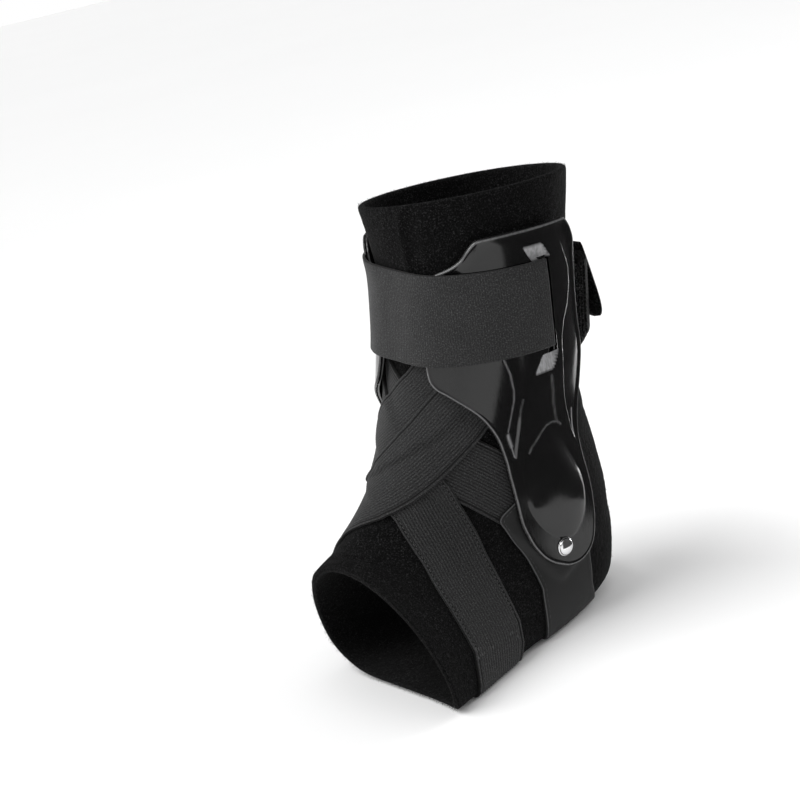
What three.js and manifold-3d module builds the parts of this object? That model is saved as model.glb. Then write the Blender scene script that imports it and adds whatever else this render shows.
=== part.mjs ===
// Ankle compression sleeve: a thick fleece sleeve, two elastic straps crossed over the instep,
// a patch under the heel, two hard side shells joined by a wide elastic, and its hook tab.
// Millimetres. +X is the outer side of a left ankle, -Y the toes, +Z up, and z = 0 the ground
// under the sole. Every piece follows one surface, the outside of the sleeve, at its own height
// above it. A place on that surface has two coordinates: up, the section that it lies on, and
// turn, the angle round that section, with 0 in front, 90 on the outer side and 180 at the back.

import * as THREE from 'three';
import Module from 'manifold-3d';

const wasm = await Module();
wasm.setup();

// Driving sizes
const HEIGHT = 217;         // ground to the front of the collar
const REACH = 158;          // back of the heel to the front of the foot end
const HALF_WIDTH = 47.5;    // half the width of the collar
const ORIGIN_REACH = 55;    // back of the heel to the origin, on the patch under the heel
const FLEECE = 3.5;         // wall of the sleeve
const ELASTIC = 1.3;        // thickness of the straps and of the patch
const CROSS_WIDTH = 30;     // crossing straps
const UPPER_WIDTH = 42;     // strap round the leg
const SHELL = 2.2;          // wall of the side shells
const LAYER_GAP = 0.6;      // air between one layer and the next
const SLOT = 6.5;           // slot in a shell, along the strap
const SLOT_PLAY = 1.5;      // slot beyond each edge of the strap
const HEEL_WIDTH = 44;      // opening at the back of the heel
const HEEL_HEIGHT = 46;
const HEEL_RISE = 47;       // ground to the middle of that opening
const RIVET_HEAD = 8.4;
const RIVET_SHANK = 4;
const RIVET_DOME = 2.6;
const RIVET_EDGE = 0.5;     // height of the head's rim
const RIVET_PLAY = 0.3;
const TAB_LAYER = 1.5;      // one thickness of the hook tab
const DOME_RISE = 3.2;      // bulge of a shell over the ankle bone
const CHANNEL_DEPTH = 0.9;  // groove near a shell's front edge
const RIB_RISE = 1.0;       // rib along a shell's rear half
const SOLE_EDGE = 3;        // how softly the sides turn into the flat sole

// The sole lies this far up, so that what is laid under it reaches the ground
const SOLE = LAYER_GAP + ELASTIC;

// Sections of the sleeve's outside, from the collar to the foot end. front and back are shares
// of REACH, frontUp and backUp of HEIGHT, half and shift of HALF_WIDTH. middle is where the
// widest line lies from back to front, roundFront and roundBack how square each side is, and
// bank tips the section sideways, in degrees.
const SECTIONS = [
  // front, frontUp, back, backUp, half, middle, roundFront, roundBack, shift, bank
  [0.614, 1.000, -0.006, 0.977, 1.000, 0.50, 2.0, 2.1, 0.105, 3.5],
  [0.592, 0.839, 0.038, 0.829, 0.937, 0.50, 2.0, 2.1, 0.105, 3.0],
  [0.611, 0.691, 0.063, 0.687, 0.884, 0.50, 2.0, 2.2, 0.084, 2.0],
  [0.649, 0.571, 0.066, 0.558, 0.842, 0.50, 2.0, 2.2, 0.053, 1.0],
  [0.706, 0.484, 0.032, 0.424, 0.821, 0.50, 2.0, 2.2, 0.021, 0.0],
  [0.763, 0.429, 0.000, 0.286, 0.800, 0.45, 2.0, 2.3, -0.011, -1.0],
  [0.816, 0.392, -0.006, 0.157, 0.779, 0.42, 2.0, 2.4, -0.032, -2.0],
  [0.864, 0.364, 0.044, 0.032, 0.779, 0.40, 2.0, 2.6, -0.042, -3.0],
  [0.905, 0.343, 0.241, -0.014, 0.811, 0.38, 2.0, 2.8, -0.021, -4.0],
  [0.940, 0.327, 0.468, -0.018, 0.863, 0.36, 2.0, 2.9, 0.032, -5.0],
  [0.972, 0.316, 0.696, -0.018, 0.926, 0.34, 2.0, 2.9, 0.105, -6.5],
  [1.000, 0.306, 0.915, -0.014, 1.000, 0.34, 2.0, 2.9, 0.211, -8.0],
];
const LAST = SECTIONS.length - 1;

// Routes of the crossing straps' middle lines, from the inner side of the foot over the instep,
// round the back of the leg and over the instep again to the outer side. turn runs on past 360.
const INNER_ROUTE = [
  // up, turn, widening
  [6.60, -102, 1], [6.10, -91, 1], [5.50, -78, 1], [5.00, -64, 1], [4.50, -48, 1],
  [4.00, -30, 1], [3.55, -15, 1], [3.15, 0, 1], [2.78, 15, 1], [2.38, 30, 1],
  [2.05, 45, 1], [1.85, 62, 1], [1.70, 90, 1], [1.60, 135, 1], [1.60, 180, 1],
  [1.65, 225, 1], [1.80, 262, 1], [2.10, 292, 1], [2.45, 315, 1], [2.80, 335, 1],
  [3.10, 352, 1], [3.45, 369, 1], [3.80, 385, 1], [4.20, 399, 1], [4.55, 411, 1],
  [4.90, 421, 1], [5.25, 430, 1], [5.70, 441, 1], [6.20, 451, 1], [6.60, 461, 1],
];
const OUTER_ROUTE = [
  // up, turn, widening
  [10.32, -154, 1.2], [10.20, -138, 1.2], [10.10, -122, 1.2], [10.00, -107, 1.2],
  [9.85, -93, 1.2], [9.50, -77, 1.2], [8.90, -61, 1.15], [8.00, -45, 1.1],
  [7.00, -29, 1.05], [6.10, -15, 1], [5.20, 0, 1], [4.40, 13, 1],
  [3.75, 25, 1], [3.15, 39, 1], [2.70, 53, 1], [2.30, 69, 1], [1.95, 90, 1],
  [1.70, 118, 1], [1.60, 150, 1], [1.60, 180, 1], [1.65, 222, 1], [1.85, 258, 1],
  [2.25, 285, 1], [2.80, 307, 1], [3.40, 326, 1], [4.00, 343, 1], [4.45, 361, 1],
  [4.88, 376, 1], [5.45, 389, 1], [6.30, 399, 1], [7.15, 408, 1.05], [7.98, 418, 1.15],
  [8.56, 427.7, 1.2], [8.99, 437.6, 1.22], [9.36, 449.5, 1.22], [9.63, 461.5, 1.22],
  [9.83, 474, 1.22], [9.98, 487, 1.22], [10.12, 500, 1.22], [10.25, 514, 1.22],
];

// Where the parts of the crossing straps change places in the pile, as turns
const UNDER_FROM = 275;
const OVER_UNTIL = 240;
const REAR_FROM = 150;

// Outline of a shell, mirrored for the inner side, from its top edge to its round bottom end
const SHELL_EDGE = [
  // up, turn at the front edge, turn at the rear edge
  [0.58, 56, 104], [0.60, 52, 106.5], [0.70, 47, 109.5], [0.80, 43, 111], [0.88, 36, 112],
  [0.95, 26, 112.5], [1.08, 21.5, 113], [1.30, 19.5, 113.5], [1.70, 19, 114.5], [2.10, 20, 116.5],
  [2.40, 22.5, 119.5], [2.58, 27, 121], [2.75, 35, 122], [3.05, 46.5, 122.5], [3.35, 55, 121.5],
  [3.78, 62.5, 118], [4.28, 66.5, 114], [4.80, 68, 111], [5.40, 70, 110], [6.05, 72.5, 109],
  [6.40, 75, 107], [6.65, 77.5, 103.5], [6.83, 80.5, 99.5], [6.95, 84, 94.5],
];
const INNER_LIFT = 0.14;    // how much higher the top of the inner shell reaches
const LIFT_FADES = [0.6, 3];
const SLOT_TURN = 88;       // front edge of the slot, at its middle
const SLOT_LEAN = 4;        // how far the slot leans back going down, as turn by up
const STRAP_UP = 1.47;      // middle of the strap round the leg
const STRAP_TILT = 0.2;     // how much lower it lies on the outer side
const STRAP_DROP = 0.6;     // how much lower it lies at the back

// The hook tab: its layers, from the strap out, and the tongue on top of them, in millimetres
// across the strap and round the leg from the tab's root
const TAB_TURN = 188;
const TAB_SPAN = 56;        // how far round its root its seat is looked for
const TAB_BITE = 0.4;       // how far one of its layers sinks into the next
const TAB_STACK = [
  // lower edge, upper edge, outer end, inner end
  [-17, 20.5, -49, 20], [-15, 20.5, -46.5, 16],
];
const TONGUE = {
  low: -9, high: 22, root: 14, leaves: 18, longest: 44, shortest: 24, corner: 6,
};
const RIVET_UP = 6.55;
const RIVET_TURN = 89.5;

// Relief of a shell. The bulge over the ankle bone: its middle, its half sizes and the share of
// them that is flat on top
const BULGE = { up: 5.05, turn: 89, halfUp: 1.55, halfTurn: 17, flat: 0.25 };
// The groove near the front edge and the rib behind the slot: where they start and end going
// down, the turns there, and their half widths at full height and at the foot
const GROOVE = { from: [1.9, 2.3], to: [3.9, 4.4], turns: [70, 74], flat: 2, foot: 5 };
const RIB = { from: [0.9, 1.4], to: [3.6, 4.3], turns: [113, 111], flat: 2, foot: 6 };

// Outline of the patch under the heel, from the outer shell to the middle of the sole
const PATCH_EDGE = [
  // front up, front turn, rear up, rear turn
  [5.20, 76, 5.20, 104], [5.62, 69, 5.70, 107], [6.00, 65, 6.10, 108], [6.30, 67.5, 6.40, 109],
  [6.62, 71.5, 6.70, 110], [6.90, 76, 6.95, 112.5], [7.38, 83.5, 7.22, 117], [7.95, 95.5, 7.40, 123],
  [8.47, 112, 7.60, 135], [8.80, 130, 7.75, 150], [8.95, 152, 7.85, 166], [9.00, 180, 7.90, 180],
];

const radians = THREE.MathUtils.degToRad;
const evenly = (count) => Array.from({ length: count + 1 }, (_, i) => i / count);
const { lerp, clamp, smoothstep } = THREE.MathUtils;

// Catmull-Rom through the rows of a table, each column by itself
function along(table, place) {
  const last = table.length - 1;
  const at = clamp(place, 0, last - 1e-9);
  const i = Math.floor(at);
  const u = at - i;
  const b = table[i];
  const c = table[i + 1];
  const a = i > 0 ? table[i - 1] : b.map((v, k) => 2 * v - c[k]);
  const d = i < last - 1 ? table[i + 2] : c.map((v, k) => 2 * v - b[k]);
  return b.map((v, k) => 0.5 * (2 * v + (c[k] - a[k]) * u
    + (2 * a[k] - 5 * v + 4 * c[k] - d[k]) * u * u
    + (3 * v - a[k] - 3 * c[k] + d[k]) * u * u * u));
}

// Rests a height on the ground of its layer, rounded where it meets it
function rested(z, ground) {
  const over = z - ground;
  if (over >= SOLE_EDGE) return z;
  if (over <= -SOLE_EDGE) return ground;
  return ground + (over + SOLE_EDGE) ** 2 / (4 * SOLE_EDGE);
}

// The point at a height out above the sleeve's outside
function skin(up, turn, out) {
  const row = along(SECTIONS, up);
  const [front, frontUp, back, backUp, half, middle, roundFront, roundBack, shift, bank] = row;
  const reach = (front - back) * REACH;
  const rise = (frontUp - backUp) * HEIGHT;
  const depth = Math.hypot(reach, rise);
  const c = Math.cos(radians(turn));
  const s = Math.sin(radians(turn));
  const square = c >= 0 ? roundFront : roundBack;
  const radius = (Math.abs(c) ** square + Math.abs(s) ** square) ** (-1 / square);
  const deep = ((c >= 0 ? 1 - middle : middle) * depth + out) * c * radius;
  const side = (half * HALF_WIDTH + out) * s * radius;
  const forward = lerp(back, front, middle) * REACH + deep * reach / depth;
  const z = lerp(backUp, frontUp, middle) * HEIGHT + deep * rise / depth
    + side * Math.sin(radians(bank));
  const x = shift * HALF_WIDTH + side * Math.cos(radians(bank));
  return new THREE.Vector3(x, ORIGIN_REACH - forward, rested(z, SOLE - out));
}

// The same point as skin, with the slopes of the surface in up and in turn
function tangents(up, turn, out) {
  const step = { up: 0.02, turn: 0.4 };
  const alongUp = skin(up + step.up, turn, out).sub(skin(up - step.up, turn, out));
  const alongTurn = skin(up, turn + step.turn, out).sub(skin(up, turn - step.turn, out));
  return [alongUp.divideScalar(2 * step.up), alongTurn.divideScalar(2 * step.turn)];
}

// The place on the surface nearest to a point, from a place close to it
function settle(point, place, out) {
  let [up, turn] = place;
  for (let round = 0; round < 3; round += 1) {
    const [a, b] = tangents(up, turn, out);
    const miss = point.clone().sub(skin(up, turn, out));
    const aa = a.dot(a);
    const ab = a.dot(b);
    const bb = b.dot(b);
    const det = aa * bb - ab * ab;
    up = clamp(up + (a.dot(miss) * bb - b.dot(miss) * ab) / det, 0, LAST);
    turn += (b.dot(miss) * aa - a.dot(miss) * ab) / det;
  }
  return [up, turn];
}

// Walks over the surface from a place, straight on in one direction
function walk(place, heading, distance, out) {
  const steps = 4;
  let here = place;
  const way = heading.clone();
  for (let i = 0; i < steps; i += 1) {
    const [a, b] = tangents(here[0], here[1], out);
    const normal = a.clone().cross(b).normalize();
    way.addScaledVector(normal, -way.dot(normal)).normalize();
    const goal = skin(here[0], here[1], out).addScaledVector(way, distance / steps);
    here = settle(goal, here, out);
  }
  return here;
}

// A closed body between two grids of points, rows by columns. keep says which cells are there,
// and loop joins the last row to the first.
function bodyBetween(inside, outside, { loop = false, keep = () => true } = {}) {
  const rows = inside.length;
  const columns = inside[0].length;
  const points = [...inside.flat(), ...outside.flat()];
  const lower = (i, j) => (i % rows) * columns + j;
  const upper = (i, j) => rows * columns + lower(i, j);
  const cells = loop ? rows : rows - 1;
  const there = (i, j) => {
    const row = loop ? (i + rows) % rows : i;
    return row >= 0 && row < cells && j >= 0 && j < columns - 1 && keep(row, j);
  };
  const triangles = [];
  const quad = (a, b, c, d) => triangles.push(a, b, c, a, c, d);
  for (let i = 0; i < cells; i += 1) {
    for (let j = 0; j < columns - 1; j += 1) {
      if (!there(i, j)) continue;
      quad(upper(i, j), upper(i + 1, j), upper(i + 1, j + 1), upper(i, j + 1));
      quad(lower(i, j), lower(i, j + 1), lower(i + 1, j + 1), lower(i + 1, j));
      if (!there(i - 1, j)) quad(lower(i, j), upper(i, j), upper(i, j + 1), lower(i, j + 1));
      if (!there(i + 1, j)) {
        quad(lower(i + 1, j), lower(i + 1, j + 1), upper(i + 1, j + 1), upper(i + 1, j));
      }
      if (!there(i, j - 1)) quad(lower(i, j), lower(i + 1, j), upper(i + 1, j), upper(i, j));
      if (!there(i, j + 1)) {
        quad(lower(i, j + 1), upper(i, j + 1), upper(i + 1, j + 1), lower(i + 1, j + 1));
      }
    }
  }
  return outward(points, triangles);
}

// Turns a shell of triangles so that its faces point out
function outward(points, triangles) {
  let volume = 0;
  for (let k = 0; k < triangles.length; k += 3) {
    const [a, b, c] = [0, 1, 2].map((n) => points[triangles[k + n]]);
    volume += a.dot(b.clone().cross(c));
  }
  if (volume < 0) triangles.reverse();
  const geometry = new THREE.BufferGeometry();
  const numbers = points.flatMap((p) => p.toArray());
  geometry.setAttribute('position', new THREE.Float32BufferAttribute(numbers, 3));
  geometry.setIndex(triangles);
  return dropUnused(geometry);
}

// Leaves out the points that no triangle uses
function dropUnused(geometry) {
  const { array } = geometry.attributes.position;
  const fresh = new Map();
  const kept = [];
  const index = [...geometry.index.array].map((old) => {
    if (!fresh.has(old)) {
      fresh.set(old, kept.length / 3);
      kept.push(...array.slice(3 * old, 3 * old + 3));
    }
    return fresh.get(old);
  });
  const tidy = new THREE.BufferGeometry();
  tidy.setAttribute('position', new THREE.Float32BufferAttribute(kept, 3));
  tidy.setIndex(index);
  return tidy;
}

// Cuts and joins
function solid(geometry) {
  return new wasm.Manifold(new wasm.Mesh({
    numProp: 3,
    vertProperties: new Float32Array(geometry.attributes.position.array),
    triVerts: new Uint32Array(geometry.index.array),
  }));
}

function geometryOf(manifold) {
  const mesh = manifold.getMesh();
  const geometry = new THREE.BufferGeometry();
  geometry.setAttribute('position', new THREE.BufferAttribute(mesh.vertProperties, 3));
  geometry.setIndex(new THREE.BufferAttribute(mesh.triVerts, 1));
  return geometry;
}

// Strips the seams of a stock geometry so that it is one closed mesh
function welded(geometry) {
  const { array } = geometry.attributes.position;
  const seen = new Map();
  const points = [];
  const source = geometry.index ? [...geometry.index.array] : [...Array(array.length / 3).keys()];
  const index = source.map((old) => {
    const spot = [...array.slice(3 * old, 3 * old + 3)];
    const key = spot.map((v) => Math.round(v * 1e4)).join();
    if (!seen.has(key)) {
      seen.set(key, points.length);
      points.push(new THREE.Vector3(...spot));
    }
    return seen.get(key);
  });
  const faces = [];
  for (let k = 0; k < index.length; k += 3) {
    const [a, b, c] = index.slice(k, k + 3);
    if (a !== b && b !== c && a !== c) faces.push(a, b, c);
  }
  return outward(points, faces);
}

// The pile: how high the layers laid so far stand above the sleeve, over a grid of up and turn
const PILE_UP = 12;
const PILE_TURN = 0.5;
class Pile {
  constructor(from) {
    this.columns = 360 * PILE_TURN;
    this.rows = LAST * PILE_UP + 1;
    this.top = from ? from.top.slice() : new Float32Array(this.rows * this.columns);
  }

  cell(up, turn) {
    const row = clamp(Math.round(up * PILE_UP), 0, this.rows - 1);
    const column = Math.round(turn * PILE_TURN) % this.columns;
    return row * this.columns + (column + this.columns) % this.columns;
  }

  raise(up, turn, height) {
    const cell = this.cell(up, turn);
    this.top[cell] = Math.max(this.top[cell], height);
  }

  at(up, turn) {
    let highest = 0;
    for (const a of [-1, 0, 1]) {
      for (const b of [-1, 0, 1]) {
        const cell = this.cell(up + a / PILE_UP, turn + b / PILE_TURN);
        highest = Math.max(highest, this.top[cell]);
      }
    }
    return highest;
  }

  // Adds a layer: places and heights are grids of the same size
  lay(places, heights, chosen = () => true) {
    const fine = 6;
    for (let i = 0; i < places.length - 1; i += 1) {
      if (!chosen(i) || !chosen(i + 1)) continue;
      for (let j = 0; j < places[0].length - 1; j += 1) {
        const height = Math.max(heights[i][j], heights[i + 1][j], heights[i][j + 1],
          heights[i + 1][j + 1]);
        for (let a = 0; a <= fine; a += 1) {
          for (let b = 0; b <= fine; b += 1) {
            const [up, turn] = [0, 1].map((k) => lerp(
              lerp(places[i][j][k], places[i + 1][j][k], a / fine),
              lerp(places[i][j + 1][k], places[i + 1][j + 1][k], a / fine), b / fine));
            this.raise(up, turn, height);
          }
        }
      }
    }
  }
}

// Applies a rule to each cell's neighbourhood of a grid of numbers
function filtered(grid, reach, rule) {
  return grid.map((row, i) => row.map((_, j) => {
    const near = [];
    grid.slice(Math.max(0, i - reach), i + reach + 1).forEach((other) => {
      near.push(...other.slice(Math.max(0, j - reach), j + reach + 1));
    });
    return rule(near);
  }));
}

const highest = (values) => Math.max(...values);
const mean = (values) => values.reduce((a, b) => a + b, 0) / values.length;

// How high a layer lies when it is laid over the pile: nowhere lower than what it covers
function drape(places, pile, reach) {
  const bare = places.map((row) => row.map(([up, turn]) => pile.at(up, turn)));
  const held = filtered(bare, reach + 1, highest);
  const eased = filtered(held, reach, mean);
  return eased.map((row) => row.map((height) => height + LAYER_GAP));
}

const plus = (grid, more) => grid.map((row, i) => row.map((v, j) => (
  v + (typeof more === 'number' ? more : more[i][j]))));

// A layer of a thickness, from the places that it covers and the height of its underside
function layer(places, under, thickness, options) {
  const lift = (heights) => places.map((row, i) => row.map(([up, turn], j) => (
    skin(up, turn, heights[i][j]))));
  return bodyBetween(lift(under), lift(plus(under, thickness)), options);
}

// Rows of places, thinned out to even steps: closer together where the surface bends
function thinned(rows, spacing) {
  const bend = radians(BEND_STEP);
  const marks = rows.map((row) => row.map(([up, turn]) => {
    const [a, b] = tangents(up, turn, SOLE);
    return { point: skin(up, turn, SOLE), normal: a.cross(b).normalize() };
  }));
  let total = 0;
  const ways = marks.map((row, k) => {
    const before = marks[Math.max(k - 1, 0)];
    total += highest(row.map(({ point, normal }, j) => Math.hypot(
      point.distanceTo(before[j].point) / spacing, normal.angleTo(before[j].normal) / bend)));
    return total;
  });
  return evenly(Math.round(total)).map((share) => {
    const goal = total * share;
    const k = clamp(ways.findIndex((way) => way >= goal - 1e-9), 1, rows.length - 1);
    const part = clamp((goal - ways[k - 1]) / (ways[k] - ways[k - 1]), 0, 1);
    return rows[k].map((place, j) => place.map((v, n) => lerp(rows[k - 1][j][n], v, part)));
  });
}

// The places that a strap covers: a row across it at each step
function ribbon(route, columns) {
  const fine = evenly((route.length - 1) * ROWS_TRIED).map((share) => share * (route.length - 1));
  const rows = fine.map((at) => {
    const [up, turn, widening] = along(route, at);
    const [a, b] = tangents(up, turn, SOLE);
    const ahead = along(route, at + 0.05);
    const behind = along(route, at - 0.05);
    const heading = skin(ahead[0], ahead[1], SOLE).sub(skin(behind[0], behind[1], SOLE));
    const across = a.cross(b).cross(heading).normalize();
    return evenly(columns).map((share) => (
      walk([up, turn], across, widening * CROSS_WIDTH * (share - 0.5), SOLE)));
  });
  return thinned(rows, CROSS_STEP);
}

// The crossing straps
const CROSS_CELLS = 4;
const CROSS_STEP = 9.5;
const BEND_STEP = 19;
const ROWS_TRIED = 5;
const inner = ribbon(INNER_ROUTE, CROSS_CELLS);
const outer = ribbon(OUTER_ROUTE, CROSS_CELLS);
const middleTurn = (places, i) => mean(places[i].map(([, turn]) => turn));
const from = (places, turn) => (i) => middleTurn(places, i) > turn;
const until = (places, turn) => (i) => middleTurn(places, i) <= turn;
const join = (places, early, late) => early.map((row, i) => (
  middleTurn(places, i) <= OVER_UNTIL ? row : late[i]));

const bare = new Pile();
const innerFlat = drape(inner, bare, 1);
const underOuter = new Pile(bare);
underOuter.lay(inner, plus(innerFlat, ELASTIC), from(inner, REAR_FROM));
const outerLate = drape(outer, underOuter, 1);
const underInner = new Pile(bare);
underInner.lay(inner, plus(innerFlat, ELASTIC), from(inner, UNDER_FROM));
underInner.lay(outer, plus(outerLate, ELASTIC), from(outer, UNDER_FROM));
const innerUnder = join(inner, drape(inner, underInner, 1), innerFlat);
const beforeOuter = new Pile(underInner);
beforeOuter.lay(inner, plus(innerUnder, ELASTIC), until(inner, UNDER_FROM));
const outerUnder = join(outer, drape(outer, beforeOuter, 1), outerLate);
const crossed = new Pile(beforeOuter);
crossed.lay(outer, plus(outerUnder, ELASTIC));
crossed.lay(inner, plus(innerUnder, ELASTIC));

// A sheet between two edges: rows along the edges, columns from the front to the rear
function sheet(edges, shares) {
  return edges.map(([frontUp, frontTurn, rearUp, rearTurn]) => shares.map((share) => (
    [lerp(frontUp, rearUp, share), lerp(frontTurn, rearTurn, share)])));
}

// The patch under the heel, the same on both sides
const PATCH_STEP = 8;
function patchPlaces() {
  const last = PATCH_EDGE.length - 1;
  const rows = evenly(last * ROWS_TRIED).map((share) => along(PATCH_EDGE, share * last));
  const half = thinned(sheet(rows, evenly(3)), PATCH_STEP);
  const other = half.slice(0, -1).reverse().map((row) => row.map(([up, turn]) => [up, 360 - turn]));
  return [...half, ...other];
}
const patch = patchPlaces();
const patchUnder = drape(patch, crossed, 1);
const patched = new Pile(crossed);
patched.lay(patch, plus(patchUnder, ELASTIC));

// The strap round the leg. Its stations are the slots' edges and even steps between them.
const strapUp = (turn) => STRAP_UP + STRAP_TILT * Math.sin(radians(turn))
  + STRAP_DROP * smoothstep(-Math.cos(radians(turn)), 0, 0.95);
const leaned = (up, turn) => (
  turn + SLOT_LEAN * (up - strapUp(turn)) * Math.sin(radians(turn)));
const slotSpan = (() => {
  const [, perTurn] = tangents(STRAP_UP, SLOT_TURN, SOLE + SHELL);
  return SLOT / perTurn.length();
})();
const slotRear = SLOT_TURN + slotSpan;
const FRONT_STEPS = 25;
const REAR_STEPS = 22;
const strapTurns = [
  ...evenly(FRONT_STEPS).map((share) => lerp(-SLOT_TURN, SLOT_TURN, share)),
  ...evenly(REAR_STEPS).map((share) => lerp(slotRear, 360 - slotRear, share)),
];
const STRAP_CELLS = 3;
const strap = strapTurns.map((turn) => {
  const [perUp] = tangents(strapUp(turn), turn, SOLE);
  const half = UPPER_WIDTH / 2 / perUp.length();
  const ups = evenly(STRAP_CELLS).map((share) => strapUp(turn) + half * (2 * share - 1));
  return ups.map((up) => [up, leaned(up, turn)]);
});
const strapRear = drape(strap, patched, 1);
const isRear = (i) => i > FRONT_STEPS;
const strapped = new Pile(patched);
strapped.lay(strap, plus(strapRear, ELASTIC), isRear);

// How far the line of a groove or rib is there at a place, from 0 to 1
function lineShare({ from: start, to: end, turns, flat, foot }, up, turn) {
  const middle = lerp(...turns, smoothstep(up, start[1], end[1]));
  return (1 - smoothstep(Math.abs(turn - middle), flat, foot))
    * smoothstep(up, ...start) * (1 - smoothstep(up, ...end));
}

function shellRelief(up, turn) {
  const off = Math.hypot((up - BULGE.up) / BULGE.halfUp, (turn - BULGE.turn) / BULGE.halfTurn);
  return DOME_RISE * (1 - smoothstep(off, BULGE.flat, 1))
    - CHANNEL_DEPTH * lineShare(GROOVE, up, turn) + RIB_RISE * lineShare(RIB, up, turn);
}

// Columns of a shell at a height: front edge to slot, slot, slot to rear edge
const FRONT_CELLS = [0, 0.14, 0.32, 0.5, 0.66, 0.83, 1];
const REAR_CELLS = [0, 0.33, 0.64, 1];
const SEAT_REACH = 3;
const LINE_SWINGS = [3, 7];   // the slot's line swings from here down to the middle of the tip
const TIP_SHARE = 0.45;
const TIP_SPAN = 0.2;
function shellRow(side, up, front, rear) {
  const swing = smoothstep(up, ...LINE_SWINGS);
  const tip = lerp(front, rear, TIP_SHARE);
  const slotFront = lerp(side * leaned(up, side * SLOT_TURN), tip, swing);
  const slotBack = slotFront + slotSpan * lerp(1, TIP_SPAN, swing);
  return [
    ...FRONT_CELLS.map((share) => lerp(front, slotFront, share)),
    ...REAR_CELLS.map((share) => lerp(slotBack, rear, share)),
  ].map((turn) => [up, turn]);
}

// Heights of a shell's rows: the table's own, one between each long step, and the slot's ends
function shellUps(outline, slotUps) {
  const apart = 0.06;
  const longStep = 0.38;
  const wanted = outline.flatMap(([up], i) => {
    const next = outline[i + 1];
    return next && next[0] - up > longStep ? [up, (up + next[0]) / 2] : [up];
  });
  const free = wanted.filter((up) => slotUps.every((end) => Math.abs(end - up) > apart));
  return [...slotUps, ...free].sort((a, b) => a - b);
}

// The outline's two edges at a height
function shellEdges(outline, up) {
  const row = Math.max(outline.findIndex(([level]) => level >= up - 1e-9), 1);
  const [a, b] = [outline[row - 1], outline[row]];
  const share = clamp((up - a[0]) / (b[0] - a[0]), 0, 1);
  return along(outline, row - 1 + share).slice(1);
}

// One shell: side is 1 on the outer side and -1 on the inner side
function shell(side) {
  const middle = strapUp(side * SLOT_TURN);
  const [perUp] = tangents(middle, side * SLOT_TURN, SOLE);
  const half = (UPPER_WIDTH / 2 + SLOT_PLAY) / perUp.length();
  const slotUps = [middle - half, middle + half];
  const lift = (up) => (side < 0 ? INNER_LIFT * (1 - smoothstep(up, ...LIFT_FADES)) : 0);
  const outline = SHELL_EDGE.map(([up, front, rear]) => [up - lift(up), front, rear]);
  const ups = shellUps(outline, slotUps);
  const right = ups.map((up) => shellRow(side, up, ...shellEdges(outline, up)));
  const places = right.map((row) => row.map(([up, turn]) => [up, side * turn]));
  const relief = right.map((row) => row.map(([up, turn]) => shellRelief(up, turn)));
  const seat = drape(places, strapped, SEAT_REACH);
  const under = plus(seat, relief);
  const slotColumn = FRONT_CELLS.length - 1;
  const keep = (i, j) => !(j === slotColumn && ups[i] >= slotUps[0] - 1e-9
    && ups[i + 1] <= slotUps[1] + 1e-9);
  return { places, under, keep };
}
const lateral = shell(1);
const medial = shell(-1);
const shelled = new Pile(strapped);
for (const one of [lateral, medial]) shelled.lay(one.places, plus(one.under, SHELL));

// In front the strap lies over the shells, and behind its slots under them
const strapFront = drape(strap, shelled, 1);
const strapUnder = strap.map((_, i) => (isRear(i) ? strapRear[i] : strapFront[i]));

// A body in millimetres round a place on the surface: rows of [across, round], where across is
// up the leg and round is towards larger turns, and the height of each row's underside
function slab(root, rows, level) {
  const [perUp, perTurn] = tangents(root.up, root.turn, SOLE);
  const places = rows.map((row) => row.map(([across, round]) => (
    [root.up - across / perUp.length(), root.turn + round / perTurn.length()])));
  const under = rows.map((row) => row.map(([, round]) => level(round)));
  return solid(layer(places, under, TAB_LAYER));
}

// The hook tab at the back: stacked layers and a free tongue that stands straight off
function hookTab() {
  const root = { up: strapUp(TAB_TURN), turn: TAB_TURN };
  const centre = skin(root.up, root.turn, 0);
  const nearRoot = strapRear.flat().filter((_, k) => {
    const [up, turn] = strap.flat()[k];
    return skin(up, turn, 0).distanceTo(centre) < TAB_SPAN;
  });
  const base = highest(nearRoot) + ELASTIC + LAYER_GAP;
  const pitch = TAB_LAYER - TAB_BITE;
  const stack = TAB_STACK.map(([low, high, near, far], n) => {
    const rows = evenly(5).map((share) => evenly(2).map((part) => (
      [lerp(low, high, part), lerp(near, far, share)])));
    return slab(root, rows, () => base + n * pitch);
  });
  const radius = HALF_WIDTH + base;
  const standOff = (round) => (
    radius * (1 / Math.cos(Math.max(-round - TONGUE.leaves, 0) / radius) - 1));
  const rows = evenly(6).map((share) => evenly(6).map((part) => {
    const corner = TONGUE.corner * (1 - Math.sqrt(1 - (2 * part - 1) ** 4));
    const reach = lerp(TONGUE.longest, TONGUE.shortest, part) - corner;
    return [lerp(TONGUE.low, TONGUE.high, part), lerp(TONGUE.root, -reach, share)];
  }));
  const tongue = slab(root, rows, (round) => base + stack.length * pitch + standOff(round));
  return geometryOf(stack.reduce((all, one) => all.add(one), tongue));
}

const SLEEVE_SIDES = 28;
const BEND_SECTIONS = [5, 8];
// The sleeve: a tube with a wall, open at the collar and the foot end, cut open at the heel
function sleeve() {
  const rings = SECTIONS.slice(0, -1).flatMap((_, i) => {
    const cells = i >= BEND_SECTIONS[0] && i <= BEND_SECTIONS[1] ? 3 : 2;
    return evenly(cells).slice(0, -1).map((share) => i + share);
  });
  rings.push(LAST);
  const around = evenly(SLEEVE_SIDES).slice(0, -1);
  const ring = (up, out) => around.map((share) => skin(up, share * 360, out));
  const across = (out) => rings.map((up) => ring(up, out));
  const turned = (grid) => grid[0].map((_, j) => grid.map((row) => row[j]));
  const tube = bodyBetween(turned(across(-FLEECE)), turned(across(0)), { loop: true });
  return geometryOf(solid(tube).subtract(heelCutter()));
}

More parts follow.
